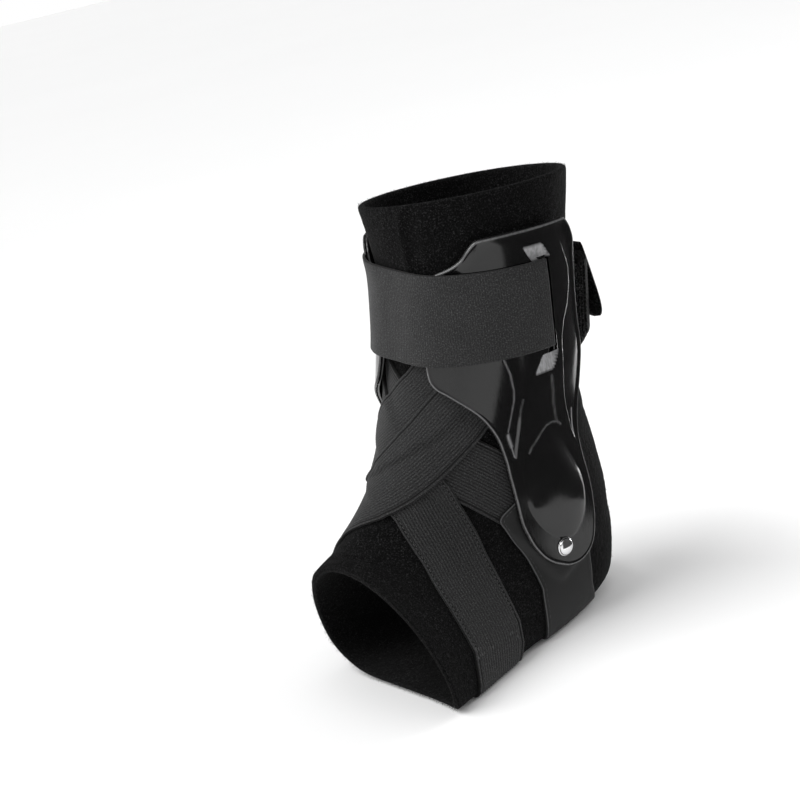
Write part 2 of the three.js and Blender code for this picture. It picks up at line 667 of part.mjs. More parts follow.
function heelCutter() {
  const outline = new THREE.Shape();
  outline.absellipse(0, 0, HEEL_WIDTH / 2, HEEL_HEIGHT / 2, 0, 2 * Math.PI);
  const depth = REACH / 3;
  const prism = new THREE.ExtrudeGeometry(outline, { depth, bevelEnabled: false, curveSegments: 9 });
  prism.rotateX(-Math.PI / 2);
  prism.translate(0, ORIGIN_REACH - depth / 2, HEEL_RISE);
  return solid(welded(prism));
}

// A rivet stands on its shell and its shank goes through it to the patch
function rivet(side) {
  const turn = side * RIVET_TURN;
  const [a, b] = tangents(RIVET_UP, turn, SOLE);
  const normal = a.cross(b).normalize();
  if (normal.dot(skin(RIVET_UP, turn, 1).sub(skin(RIVET_UP, turn, 0))) < 0) normal.negate();
  const one = side > 0 ? lateral : medial;
  const height = seatAt(one, turn);
  const seat = skin(RIVET_UP, turn, height + SHELL);
  const foot = skin(RIVET_UP, turn, patched.at(RIVET_UP, turn) + LAYER_GAP);
  const length = seat.distanceTo(foot);
  const head = RIVET_HEAD / 2;
  const domeFoot = RIVET_PLAY + RIVET_EDGE;
  const dome = evenly(3).map((share) => share * Math.PI / 2).map((angle) => new THREE.Vector2(
    head * Math.cos(angle), domeFoot + (RIVET_DOME - RIVET_EDGE) * Math.sin(angle)));
  const profile = [
    new THREE.Vector2(0, -length), new THREE.Vector2(RIVET_SHANK / 2, -length),
    new THREE.Vector2(RIVET_SHANK / 2, RIVET_PLAY), new THREE.Vector2(head, RIVET_PLAY), ...dome,
  ];
  const piece = welded(new THREE.LatheGeometry(profile, 12));
  const stand = new THREE.Quaternion().setFromUnitVectors(new THREE.Vector3(0, 1, 0), normal);
  piece.applyQuaternion(stand);
  piece.translate(seat.x, seat.y, seat.z);
  const radius = RIVET_SHANK / 2 + RIVET_PLAY;
  const drill = new THREE.CylinderGeometry(radius, radius, 4 * SHELL + length, 12);
  drill.applyQuaternion(stand);
  drill.translate(seat.x, seat.y, seat.z);
  return { piece, drill: solid(welded(drill)) };
}

// Height of a shell's underside below its rivet's head: its highest point near the shank
function seatAt(one, turn) {
  const centre = skin(RIVET_UP, turn, 0);
  const near = [];
  one.places.forEach((row, i) => row.forEach(([up, at], j) => {
    if (skin(up, at, 0).distanceTo(centre) < RIVET_HEAD) near.push(one.under[i][j]);
  }));
  return highest(near);
}

function shellBody(one, drill) {
  const body = solid(layer(one.places, one.under, SHELL, { keep: one.keep }));
  return geometryOf(body.subtract(drill));
}

// Materials and the assembly
const fleece = new THREE.MeshStandardMaterial({ color: 0x151515, roughness: 0.95, metalness: 0 });
const elastic = new THREE.MeshStandardMaterial({ color: 0x343434, roughness: 0.85, metalness: 0 });
const smooth = new THREE.MeshStandardMaterial({ color: 0x2c2c2c, roughness: 0.7, metalness: 0 });
const plastic = new THREE.MeshStandardMaterial({ color: 0x1b1b1b, roughness: 0.2, metalness: 0 });
const chrome = new THREE.MeshStandardMaterial({ color: 0xd9d9d9, roughness: 0.15, metalness: 1 });
const hook = new THREE.MeshStandardMaterial({ color: 0x101010, roughness: 0.9, metalness: 0 });

const lateralRivet = rivet(1);
const medialRivet = rivet(-1);

const group = new THREE.Group();
function add(name, geometry, material) {
  const mesh = new THREE.Mesh(geometry, material);
  mesh.name = name;
  group.add(mesh);
}
add('sleeve', sleeve(), fleece);
add('inner_cross_strap', layer(inner, innerUnder, ELASTIC), elastic);
add('outer_cross_strap', layer(outer, outerUnder, ELASTIC), elastic);
add('stirrup_patch', layer(patch, patchUnder, ELASTIC), smooth);
add('upper_strap', layer(strap, strapUnder, ELASTIC, { loop: true }), elastic);
add('closure_tab', hookTab(), hook);
add('lateral_shell', shellBody(lateral, lateralRivet.drill), plastic);
add('medial_shell', shellBody(medial, medialRivet.drill), plastic);
add('lateral_rivet', lateralRivet.piece, chrome);
add('medial_rivet', medialRivet.piece, chrome);

export default group;
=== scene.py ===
import math

import bpy
import numpy as np
from mathutils import Matrix


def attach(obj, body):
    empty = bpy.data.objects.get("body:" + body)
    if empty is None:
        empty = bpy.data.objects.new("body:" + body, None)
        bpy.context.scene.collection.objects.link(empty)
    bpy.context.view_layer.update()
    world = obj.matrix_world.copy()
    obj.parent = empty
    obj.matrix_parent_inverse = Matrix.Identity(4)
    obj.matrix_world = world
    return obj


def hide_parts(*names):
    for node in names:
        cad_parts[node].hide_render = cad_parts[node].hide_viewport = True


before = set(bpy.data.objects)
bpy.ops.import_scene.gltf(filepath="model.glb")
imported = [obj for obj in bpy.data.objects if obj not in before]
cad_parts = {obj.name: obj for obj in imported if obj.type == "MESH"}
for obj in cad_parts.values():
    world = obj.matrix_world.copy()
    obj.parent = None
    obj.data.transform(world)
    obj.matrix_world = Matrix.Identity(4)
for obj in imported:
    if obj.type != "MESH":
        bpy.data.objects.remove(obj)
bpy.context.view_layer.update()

# The looks of an ankle support. Every piece follows the same surface as the solids: a place on
# it has two coordinates, up (the section) and turn (degrees round the section), and a height out
# above it. Lengths are millimetres until a mesh is made.
MM = 0.001
dice = np.random.default_rng(11)

HEIGHT, REACH, HALF_WIDTH, ORIGIN_REACH = 217.0, 158.0, 47.5, 55.0
FLEECE, ELASTIC, SHELL = 3.5, 1.3, 2.2
CROSS_WIDTH, UPPER_WIDTH = 30.0, 42.0
RIB_PITCH, FINE_PITCH, GROOVE = 1.42, 1.05, 1.75
GAP = 0.3
SOLE_EDGE = 3.0
SOLE = GAP + ELASTIC
SLOT, SLOT_ENDS, SLOT_TURN, SLOT_LEAN = 4.8, (1.0, 2.44), 88.0, 4.0
STRAP_UP, STRAP_TILT, STRAP_DROP = 1.47, 0.2, 0.6
INNER_LIFT = 0.14
HEEL_WIDTH, HEEL_HEIGHT, HEEL_RISE = 44.0, 46.0, 47.0
RIVET_UP, RIVET_TURN, RIVET_HEAD, RIVET_DOME = 6.55, 89.5, 8.4, 2.6
TAB_TURN, TAB_REACH = 188.0, 56.0

SECTIONS = np.array([
    # front, frontUp, back, backUp, half, middle, roundFront, roundBack, shift, bank
    [0.614, 1.000, -0.006, 0.977, 1.000, 0.50, 2.0, 2.1, 0.105, 3.5],
    [0.592, 0.839, 0.038, 0.829, 0.937, 0.50, 2.0, 2.1, 0.105, 3.0],
    [0.611, 0.691, 0.063, 0.687, 0.884, 0.50, 2.0, 2.2, 0.084, 2.0],
    [0.649, 0.571, 0.066, 0.558, 0.842, 0.50, 2.0, 2.2, 0.053, 1.0],
    [0.706, 0.484, 0.032, 0.424, 0.821, 0.50, 2.0, 2.2, 0.021, 0.0],
    [0.763, 0.429, 0.000, 0.286, 0.800, 0.45, 2.0, 2.3, -0.011, -1.0],
    [0.816, 0.392, -0.006, 0.157, 0.779, 0.42, 2.0, 2.4, -0.032, -2.0],
    [0.864, 0.364, 0.044, 0.032, 0.779, 0.40, 2.0, 2.6, -0.042, -3.0],
    [0.905, 0.343, 0.241, -0.014, 0.811, 0.38, 2.0, 2.8, -0.021, -4.0],
    [0.940, 0.327, 0.468, -0.018, 0.863, 0.36, 2.0, 2.9, 0.032, -5.0],
    [0.972, 0.316, 0.696, -0.018, 0.926, 0.34, 2.0, 2.9, 0.105, -6.5],
    [1.000, 0.306, 0.915, -0.014, 1.000, 0.34, 2.0, 2.9, 0.211, -8.0],
])
LAST = len(SECTIONS) - 1
INNER_ROUTE = [
    # up, turn, widening
    [6.60, -102, 1], [6.10, -91, 1], [5.50, -78, 1], [5.00, -64, 1], [4.50, -48, 1],
    [4.00, -30, 1], [3.55, -15, 1], [3.15, 0, 1], [2.78, 15, 1], [2.38, 30, 1],
    [2.05, 45, 1], [1.85, 62, 1], [1.70, 90, 1], [1.60, 135, 1], [1.60, 180, 1],
    [1.65, 225, 1], [1.80, 262, 1], [2.10, 292, 1], [2.45, 315, 1], [2.80, 335, 1],
    [3.10, 352, 1], [3.45, 369, 1], [3.80, 385, 1], [4.20, 399, 1], [4.55, 411, 1],
    [4.90, 421, 1], [5.25, 430, 1], [5.70, 441, 1], [6.20, 451, 1], [6.60, 461, 1],
]
OUTER_ROUTE = [
    # up, turn, widening
    [10.32, -154, 1.2], [10.20, -138, 1.2], [10.10, -122, 1.2], [10.00, -107, 1.2],
    [9.85, -93, 1.2], [9.50, -77, 1.2], [8.90, -61, 1.15], [8.00, -45, 1.1],
    [7.00, -29, 1.05], [6.10, -15, 1], [5.20, 0, 1], [4.40, 13, 1],
    [3.75, 25, 1], [3.15, 39, 1], [2.70, 53, 1], [2.30, 69, 1], [1.95, 90, 1],
    [1.70, 118, 1], [1.60, 150, 1], [1.60, 180, 1], [1.65, 222, 1], [1.85, 258, 1],
    [2.25, 285, 1], [2.80, 307, 1], [3.40, 326, 1], [4.00, 343, 1], [4.45, 361, 1],
    [4.88, 376, 1], [5.45, 389, 1], [6.30, 399, 1], [7.15, 408, 1.05], [7.98, 418, 1.15],
    [8.56, 427.7, 1.2], [8.99, 437.6, 1.22], [9.36, 449.5, 1.22], [9.63, 461.5, 1.22],
    [9.83, 474, 1.22], [9.98, 487, 1.22], [10.12, 500, 1.22], [10.25, 514, 1.22],
]
UNDER_FROM, OVER_UNTIL, REAR_FROM = 275, 240, 150
SHELL_EDGE = np.array([
    # up, turn at the front edge, turn at the rear edge
    [0.58, 56, 104], [0.60, 52, 106.5], [0.70, 47, 109.5], [0.80, 43, 111], [0.88, 36, 112],
    [0.95, 26, 112.5], [1.08, 21.5, 113], [1.30, 19.5, 113.5], [1.70, 19, 114.5],
    [2.10, 20, 116.5], [2.40, 22.5, 119.5], [2.58, 27, 121], [2.75, 35, 122],
    [3.05, 46.5, 122.5], [3.35, 55, 121.5],
    [3.78, 62.5, 118], [4.28, 66.5, 114], [4.80, 68, 111], [5.40, 70, 110], [6.05, 72.5, 109],
    [6.40, 75, 107], [6.65, 77.5, 103.5], [6.83, 80.5, 99.7], [6.93, 83, 96.2],
    [6.985, 85.7, 93.0], [7.0, 87.8, 90.8],
])
PATCH_EDGE = np.array([
    # front up, front turn, rear up, rear turn
    [5.20, 76, 5.20, 104], [5.62, 69, 5.70, 107], [6.00, 65, 6.10, 108], [6.30, 67.5, 6.40, 109],
    [6.62, 71.5, 6.70, 110], [6.90, 76, 6.95, 112.5], [7.38, 83.5, 7.22, 117],
    [7.95, 95.5, 7.40, 123], [8.47, 112, 7.60, 135], [8.80, 130, 7.75, 150],
    [8.95, 152, 7.85, 166], [9.00, 180, 7.90, 180],
])


def smoothstep(x, low, high):
    s = np.clip((x - low) / (high - low), 0, 1)
    return s * s * (3 - 2 * s)


def hump(x, middle, width):
    return np.exp(-((x - middle) / width) ** 2)


def edge_fall(distance, radius):
    """How far a rounded edge has fallen, from 1 at the edge itself to 0 at its radius."""
    return 1 - np.sqrt(np.clip(1 - (1 - np.clip(distance / radius, 0, 1)) ** 2, 0, 1))


def lengths_along(points):
    return np.r_[0, np.cumsum(np.linalg.norm(np.diff(points, axis=0), axis=1))]


def unit(v):
    return v / np.maximum(np.linalg.norm(v, axis=-1, keepdims=True), 1e-12)


def along(table, place):
    """Catmull-Rom through the rows of a table."""
    t = np.asarray(table, float)
    at = np.clip(place, 0, len(t) - 1 - 1e-9)
    i = np.asarray(at).astype(int)
    u = (at - i)[..., None]
    e = np.vstack([2 * t[0] - t[1], t, 2 * t[-1] - t[-2]])
    a, b, c, d = e[i], e[i + 1], e[i + 2], e[i + 3]
    return 0.5 * (2 * b + (c - a) * u + (2 * a - 5 * b + 4 * c - d) * u**2
                  + (3 * b - a - 3 * c + d) * u**3)


def skin(up, turn, out):
    """The point at a height out above the sleeve's outside."""
    up, turn, out = np.broadcast_arrays(*(np.asarray(v, float) for v in (up, turn, out)))
    row = np.moveaxis(along(SECTIONS, up), -1, 0)
    front, front_up, back, back_up, half, middle, round_front, round_back, shift, bank = row
    reach = (front - back) * REACH
    rise = (front_up - back_up) * HEIGHT
    depth = np.hypot(reach, rise)
    c, s = np.cos(np.radians(turn)), np.sin(np.radians(turn))
    square = np.where(c >= 0, round_front, round_back)
    radius = (np.abs(c) ** square + np.abs(s) ** square) ** (-1 / square)
    deep = (np.where(c >= 0, 1 - middle, middle) * depth + out) * c * radius
    side = (half * HALF_WIDTH + out) * s * radius
    forward = (back + (front - back) * middle) * REACH + deep * reach / depth
    z = (back_up + (front_up - back_up) * middle) * HEIGHT + deep * rise / depth
    z = z + side * np.sin(np.radians(bank))
    x = shift * HALF_WIDTH + side * np.cos(np.radians(bank))
    over = z - (SOLE - out)
    soft = (np.clip(over, -SOLE_EDGE, SOLE_EDGE) + SOLE_EDGE) ** 2 / (4 * SOLE_EDGE)
    rested = SOLE - out + np.where(over >= SOLE_EDGE, over, soft)
    return np.stack([x, ORIGIN_REACH - forward, rested], -1)


def tangents(up, turn, out=SOLE):
    a = (skin(up + 0.02, turn, out) - skin(up - 0.02, turn, out)) / 0.04
    b = (skin(up, turn + 0.4, out) - skin(up, turn - 0.4, out)) / 0.8
    return a, b


def normals(up, turn, out=SOLE):
    a, b = tangents(up, turn, out)
    n = unit(np.cross(a, b))
    away = skin(up, turn, out + 1.0) - skin(up, turn, out)
    return n * np.sign((n * away).sum(-1, keepdims=True) + 1e-9)


def settle(point, up, turn, out=SOLE):
    for _ in range(3):
        a, b = tangents(up, turn, out)
        miss = point - skin(up, turn, out)
        aa, ab, bb = (a * a).sum(-1), (a * b).sum(-1), (b * b).sum(-1)
        am, bm = (a * miss).sum(-1), (b * miss).sum(-1)
        det = aa * bb - ab * ab
        up = np.clip(up + (am * bb - bm * ab) / det, 0, LAST)
        turn = turn + (bm * aa - am * ab) / det
    return up, turn


def walk(up, turn, way, distance, out=SOLE):
    for _ in range(4):
        a, b = tangents(up, turn, out)
        n = unit(np.cross(a, b))
        way = unit(way - n * (way * n).sum(-1, keepdims=True))
        goal = skin(up, turn, out) + way * distance[..., None] / 4
        up, turn = settle(goal, up, turn, out)
    return up, turn


# The pile: how high the layers laid so far stand above the sleeve, over a grid of up and turn
UP_CELLS, TURN_CELLS = 44, 2


def finer(grid, times):
    n = grid.shape[0]
    at = np.linspace(0, n - 1, (n - 1) * times + 1)
    i = np.minimum(at.astype(int), n - 2)
    u = (at - i).reshape(-1, *([1] * (grid.ndim - 1)))
    return grid[i] * (1 - u) + grid[i + 1] * u


def lay(pile, places, heights, rows=None):
    both = np.concatenate([places, heights[..., None]], -1)
    if rows is not None:
        both = both[rows]
    if len(both) < 2:
        return pile
    both = finer(both, 5)
    both = np.swapaxes(finer(np.swapaxes(both, 0, 1), 2), 0, 1)
    r = np.clip(np.round(both[..., 0] * UP_CELLS).astype(int), 0, pile.shape[0] - 1)
    c = np.round(both[..., 1] * TURN_CELLS).astype(int) % pile.shape[1]
    new = pile.copy()
    np.maximum.at(new, (r.ravel(), c.ravel()), both[..., 2].ravel())
    return new


def spread(grid, r, rule):
    for axis, mode in ((0, "edge"), (1, "wrap")):
        wide = np.pad(grid, [(r, r) if k == axis else (0, 0) for k in (0, 1)], mode)
        size = grid.shape[axis]
        cuts = [wide[k:k + size] if axis == 0 else wide[:, k:k + size] for k in range(2 * r + 1)]
        grid = rule(cuts)
    return grid


def widest(grid, r):
    return spread(grid, r, lambda cuts: np.maximum.reduce(cuts))


def averaged(grid, r):
    return spread(grid, r, lambda cuts: sum(cuts) / len(cuts))


def drape(pile, reach=5):
    half = reach // 2
    return averaged(averaged(widest(pile, reach), half), reach - half) + GAP


def sample(grid, up, turn):
    r = np.clip(up * UP_CELLS, 0, grid.shape[0] - 1.001)
    c = np.mod(turn * TURN_CELLS, grid.shape[1])
    i, j = r.astype(int), c.astype(int)
    u, v = r - i, c - j
    k = (j + 1) % grid.shape[1]
    j = j % grid.shape[1]
    return ((grid[i, j] * (1 - v) + grid[i, k] * v) * (1 - u)
            + (grid[i + 1, j] * (1 - v) + grid[i + 1, k] * v) * u)


# Meshes
def mesh_from(name, points, faces, uvs=None, flat=None):
    """points in millimetres; faces lists of indices; uvs one pair for each corner."""
    me = bpy.data.meshes.new(name)
    me.from_pydata((np.asarray(points) * MM).tolist(), [], faces)
    if uvs is not None:
        layer = me.uv_layers.new(name="cloth")
        layer.data.foreach_set("uv", np.asarray(uvs, np.float32).ravel())
    smooth = np.ones(len(faces), bool)
    if flat is not None:
        smooth[flat] = False
    me.polygons.foreach_set("use_smooth", smooth)
    me.update()
    ob = bpy.data.objects.new(name, me)
    bpy.context.scene.collection.objects.link(ob)
    return ob


def inside_out(points, faces):
    corners = np.array([face[:3] for face in faces])
    a, b, c = (points[corners[:, k]] for k in range(3))
    return (a * np.cross(b, c)).sum() < 0


def cells_of(rows, columns):
    return (g.ravel() for g in np.meshgrid(np.arange(rows), np.arange(columns), indexing="ij"))


def between(name, top, bottom, u, v, bottom_columns=None, keep=None, loop=False, painted_highlight=None):
    """A closed body between two grids of points. u and v are the cloth coordinates of its rows
    and columns, with one row more if it is a loop. bottom_columns says which of the top's columns
    the bottom has, keep which cells are there, and the last argument how much highlight is
    painted into the colour at the top's points."""
    n, m = top.shape[:2]
    columns = np.arange(m) if bottom_columns is None else np.asarray(bottom_columns)
    low = len(columns)
    points = np.concatenate([top.reshape(-1, 3), bottom.reshape(-1, 3)])
    rows = len(u)
    v = np.asarray(v, float)
    v = v if v.ndim == 2 else np.broadcast_to(v, (rows, m))
    cloth = np.stack([np.broadcast_to(np.asarray(u, float)[:, None], v.shape), v], -1)
    cloth = np.concatenate([cloth.reshape(-1, 2), cloth[:, columns].reshape(-1, 2)])
    wrapped = np.arange(rows)[:, None] % n
    # Corners are counted on grids of all rows, and this says which point each one is
    point_of = np.concatenate([(wrapped * m + np.arange(m)).ravel(),
                               (n * m + wrapped * low + np.arange(low)).ravel()])
    over = lambda i, j: i * m + j
    under = lambda i, j: rows * m + i * low + j
    faces, flat = [], []

    def add(corners, is_flat=False):
        faces.extend(np.stack(corners, -1).tolist())
        flat.extend([is_flat] * len(corners[0]))

    i, j = cells_of(rows - 1, m - 1)
    if keep is not None:
        there = keep[i, j]
        i, j = i[there], j[there]
    add([over(i, j), over(i + 1, j), over(i + 1, j + 1), over(i, j + 1)])
    if keep is None:
        i, j = cells_of(rows - 1, low - 1)
    add([under(i, j), under(i, j + 1), under(i + 1, j + 1), under(i + 1, j)])
    if keep is None:
        k = np.arange(rows - 1)
        add([over(k, 0), under(k, 0), under(k + 1, 0), over(k + 1, 0)], True)
        add([over(k, m - 1), over(k + 1, m - 1), under(k + 1, low - 1), under(k, low - 1)], True)
        for row, way in () if loop else ((0, 1), (n - 1, -1)):
            faces.append(([over(row, c) for c in range(m)]
                          + [under(row, c) for c in reversed(range(low))])[::way])
            flat.append(True)
    else:
        full = np.zeros((rows + 1, m + 1), bool)
        full[1:-1, 1:-1] = keep
        if loop:
            full[0, 1:-1], full[-1, 1:-1] = keep[-1], keep[0]
        i, j = np.nonzero(full[1:-1, 1:-1])
        for di, dj, a, b in ((-1, 0, (0, 1), (0, 0)), (1, 0, (1, 0), (1, 1)),
                             (0, -1, (0, 0), (1, 0)), (0, 1, (1, 1), (0, 1))):
            bare = ~full[1 + i + di, 1 + j + dj]
            p, q = i[bare], j[bare]
            pa, qa, pb, qb = p + a[0], q + a[1], p + b[0], q + b[1]
            add([over(pa, qa), over(pb, qb), under(pb, qb), under(pa, qa)])
    if inside_out(points[point_of], faces):
        faces = [face[::-1] for face in faces]
    corners = np.concatenate([np.asarray(face) for face in faces])
    used = np.unique(point_of[corners])
    fresh = np.full(len(points), -1)
    fresh[used] = np.arange(len(used))
    fresh = fresh[point_of]
    ob = mesh_from(name, points[used], [fresh[face].tolist() for face in faces], cloth[corners],
                   np.nonzero(flat)[0])
    if painted_highlight is not None:
        level = np.concatenate([painted_highlight.ravel(), np.zeros(n * low)])[used]
        ob.data.attributes.new("painted_highlight", "FLOAT", "POINT").data.foreach_set(
            "value", level.astype(np.float32))
    return ob


def tube(path, radius, sides=6):
    """Points and faces of a tube along a path."""
    step = unit(np.gradient(path, axis=0))
    side = unit(np.cross(step, [0.3, 0.2, 1.0]))
    other = np.cross(step, side)
    angle = np.linspace(0, 2 * np.pi, sides, endpoint=False)
    radius = np.broadcast_to(radius, len(path))
    ring = (side[:, None] * np.cos(angle)[:, None] + other[:, None] * np.sin(angle)[:, None])
    points = (path[:, None] + ring * radius[:, None, None]).reshape(-1, 3)
    faces = []
    count = len(path)
    for i in range(count - 1):
        for k in range(sides):
            a, b = i * sides + k, i * sides + (k + 1) % sides
            faces.append([a, b, b + sides, a + sides])
    faces.append(list(range(sides))[::-1])
    faces.append([(count - 1) * sides + k for k in range(sides)])
    return points, faces


def joined(name, parts):
    points, faces, base = [], [], 0
    for p, f in parts:
        points.append(p)
        faces += [[k + base for k in face] for face in f]
        base += len(p)
    return mesh_from(name, np.concatenate(points), faces)


# Materials
class Nodes:
    def __init__(self, name):
        self.material = bpy.data.materials.new(name)
        self.material.use_nodes = True
        self.tree = self.material.node_tree
        self.shader = self.tree.nodes["Principled BSDF"]

    def add(self, kind, links=None, **settings):
        node = self.tree.nodes.new(kind)
        for key, value in settings.items():
            setattr(node, key, value)
        for key, value in (links or {}).items():
            socket = node.inputs[key]
            if isinstance(value, bpy.types.NodeSocket):
                self.tree.links.new(value, socket)
            else:
                socket.default_value = value
        return node

    def math(self, operation, a, b=0.0):
        return self.add("ShaderNodeMath", {0: a, 1: b}, operation=operation).outputs[0]

    def noise(self, vector, scale, detail=3.0, roughness=0.55):
        node = self.add("ShaderNodeTexNoise", {"Scale": scale, "Detail": detail,
                                               "Roughness": roughness, "Vector": vector})
        return node.outputs["Fac"]

    def range(self, value, low, high, to_low=0.0, to_high=1.0):
        node = self.add("ShaderNodeMapRange", {"Value": value, "From Min": low,
                                               "From Max": high, "To Min": to_low,
                                               "To Max": to_high})
        return node.outputs["Result"]

    def mix(self, factor, a, b):
        node = self.add("ShaderNodeMix", data_type="RGBA")
        for socket, value in ((node.inputs["Factor"], factor), (node.inputs[6], a),
                              (node.inputs[7], b)):
            if isinstance(value, bpy.types.NodeSocket):
                self.tree.links.new(value, socket)
            else:
                socket.default_value = value
        return node.outputs[2]

    def bump(self, height, strength, distance):
        links = {"Height": height, "Strength": strength, "Distance": distance}
        return self.add("ShaderNodeBump", links).outputs["Normal"]

    def place(self):
        return self.add("ShaderNodeTexCoord").outputs["Object"]

    def cloth(self, u_scale=1.0, v_scale=1.0):
        uv = self.add("ShaderNodeUVMap", uv_map="cloth").outputs["UV"]
        node = self.add("ShaderNodeMapping", {"Vector": uv, "Scale": (u_scale, v_scale, 1.0)})
        return node.outputs["Vector"]

    def set(self, **values):
        for key, value in values.items():
            socket = self.shader.inputs[key.replace("_", " ")]
            if isinstance(value, bpy.types.NodeSocket):
                self.tree.links.new(value, socket)
            else:
                socket.default_value = value
        return self.material


def grey(level):
    return (level, level, level * 1.02, 1.0)


def fleece_material():
    n = Nodes("napped_fleece")
    at = n.place()
    nap = n.noise(at, 1500.0, 3.0, 0.7)
    tufts = n.noise(at, 420.0, 2.0)
    wide = n.noise(at, 45.0, 2.0)
    flecks = n.math("POWER", n.range(nap, 0.48, 0.74), 1.8)
    shade = n.math("MULTIPLY", flecks, n.range(wide, 0.3, 0.7, 0.5, 1.0))
    colour = n.mix(shade, grey(0.002), grey(0.06))
    height = n.math("ADD", n.math("MULTIPLY", nap, 0.6), tufts)
    return n.set(Base_Color=colour, Roughness=0.95, Sheen_Weight=0.02, Sheen_Roughness=0.5,
                 Specular_IOR_Level=0.05, Normal=n.bump(height, 1.0, 0.0009))


def elastic_material(name, pitch, ribs_along, half_wide):
    """Woven elastic. ribs_along: the ribs run along the strap, otherwise across it."""
    n = Nodes(name)
    split = n.add("ShaderNodeSeparateXYZ", {"Vector": n.cloth()})
    wave_of = split.outputs["Y" if ribs_along else "X"]
    yarn = n.noise(n.cloth(*((1.3, 2.3) if ribs_along else (2.4, 1.1))), 1.0, 2.0, 0.7)
    sway = n.noise(n.cloth(0.35, 0.35), 1.0, 2.0, 0.6)
    phase = n.math("ADD", wave_of, n.math("MULTIPLY", sway, 0.25 if ribs_along else 1.1))
    rib = n.math("COSINE", n.math("MULTIPLY", phase, 2 * math.pi / pitch))
    rib = n.range(rib, -1.0, 1.0)
    fine = n.noise(n.cloth(1.7, 1.7), 1.0, 2.0, 0.75)
    soft = n.noise(n.place(), 60.0, 2.0)
    specks = n.range(n.math("MULTIPLY", yarn, fine), 0.26, 0.35)
    tone = n.math("MULTIPLY", n.range(rib, 0.0, 1.0, 0.1 if ribs_along else 0.6, 1.0),
                  n.range(soft, 0.3, 0.7, 0.85, 1.1))
    tone = n.math("ADD", n.math("MULTIPLY", tone, 0.34), n.math("MULTIPLY", specks, 0.72))
    # Painted shade: the tone is darkened along the groove beside the rolled edge and along the very edge,
    # where shade falls between layers.
    inward = n.math("SUBTRACT", half_wide, n.math("ABSOLUTE", split.outputs["Y"]))
    shaded_lines = [(GROOVE, 0.6), (0.0, 0.45)] if ribs_along else [(0.0, 0.3)]
    for place, width in shaded_lines:
        off = n.math("ABSOLUTE", n.math("SUBTRACT", inward, place))
        tone = n.math("MULTIPLY", tone, n.range(off, 0.12, width, 0.0, 1.0))
    colour = n.mix(tone, grey(0.001), grey(0.056))
    height = n.math("ADD", n.math("MULTIPLY", yarn, 0.5), n.math("MULTIPLY", fine, 0.8))
    if not ribs_along:
        height = n.math("ADD", height, n.math("MULTIPLY", rib, 0.35))
    return n.set(Base_Color=colour, Roughness=0.82, Sheen_Weight=0.12, Sheen_Roughness=0.45,
                 Specular_IOR_Level=0.25, Normal=n.bump(height, 0.7, 0.00025))


def patch_material():
    n = Nodes("coated_patch")
    at = n.place()
    fine = n.noise(at, 2200.0, 2.0)
    soft = n.noise(at, 120.0, 3.0)
    colour = n.mix(n.range(soft, 0.3, 0.7), grey(0.0085), grey(0.014))
    return n.set(Base_Color=colour, Roughness=n.range(soft, 0.3, 0.7, 0.5, 0.62),
                 Specular_IOR_Level=0.3,
                 Normal=n.bump(n.math("ADD", fine, n.math("MULTIPLY", soft, 0.6)), 0.25, 0.0002))


def plastic_material():
    n = Nodes("moulded_gloss")
    at = n.place()
    scuffs = n.noise(n.add("ShaderNodeMapping", {"Vector": at, "Scale": (1.0, 1.0, 0.25)}
                           ).outputs["Vector"], 900.0, 4.0, 0.6)
    soft = n.noise(at, 70.0, 2.0)
    # Painted highlight: an attribute set on the shells lightens the colour towards pale grey along their
    # edges, creases and slot ramps, in place of light caught there. The scuffs noise breaks it up.
    painted_highlight = n.add("ShaderNodeAttribute", attribute_name="painted_highlight").outputs["Fac"]
    painted_highlight_share = n.math("MULTIPLY", painted_highlight, n.range(scuffs, 0.3, 0.6, 0.55, 1.0))
    colour = n.mix(n.range(soft, 0.3, 0.7), grey(0.0035), grey(0.005))
    colour = n.mix(painted_highlight_share, colour, grey(0.36))
    return n.set(Base_Color=colour, Roughness=n.range(scuffs, 0.35, 0.75, 0.11, 0.2),
                 Specular_IOR_Level=0.55, Normal=n.bump(soft, 0.05, 0.0006))


def hook_material():
    n = Nodes("hook_tape")
    cells = n.add("ShaderNodeTexVoronoi", {"Scale": 1300.0, "Vector": n.place()})
    dots = n.range(cells.outputs["Distance"], 0.1, 0.55, 1.0, 0.0)
    soft = n.noise(n.place(), 300.0, 2.0)
    colour = n.mix(n.math("MULTIPLY", dots, soft), grey(0.002), grey(0.13))
    return n.set(Base_Color=colour, Roughness=0.9, Specular_IOR_Level=0.15,
                 Normal=n.bump(dots, 0.9, 0.0006))


def chrome_material():
    n = Nodes("polished_rivet")
    marks = n.noise(n.place(), 1800.0, 3.0)
    return n.set(Base_Color=(0.86, 0.86, 0.87, 1.0), Metallic=1.0,
                 Roughness=n.range(marks, 0.3, 0.7, 0.05, 0.12))


def fibre_material():
    n = Nodes("loose_fibre")
    shade = n.noise(n.place(), 300.0, 2.0)
    return n.set(Base_Color=n.mix(shade, grey(0.004), grey(0.03)), Roughness=0.8,
                 Specular_IOR_Level=0.2)


def thread_material(name, low, high):
    n = Nodes(name)
    twist = n.noise(n.place(), 2500.0, 2.0)
    return n.set(Base_Color=n.mix(twist, grey(low), grey(high)), Roughness=0.7,
                 Sheen_Weight=0.1, Normal=n.bump(twist, 0.5, 0.0002))


fleece = fleece_material()
cross_elastic = elastic_material("ribbed_elastic", RIB_PITCH, True, CROSS_WIDTH / 2)
upper_elastic = elastic_material("wide_elastic", FINE_PITCH, False, UPPER_WIDTH / 2)
patch_cloth = patch_material()
plastic = plastic_material()
hooks = hook_material()
chrome = chrome_material()
thread = thread_material("thread", 0.012, 0.05)
edging_thread = thread_material("edging_thread", 0.03, 0.09)
fibre = fibre_material()


def dress(ob, material, *nodes, slot=None):
    ob.data.materials.clear()
    ob.data.materials.append(material)
    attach(ob, "root")
    if nodes:
        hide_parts(*nodes)
    return ob


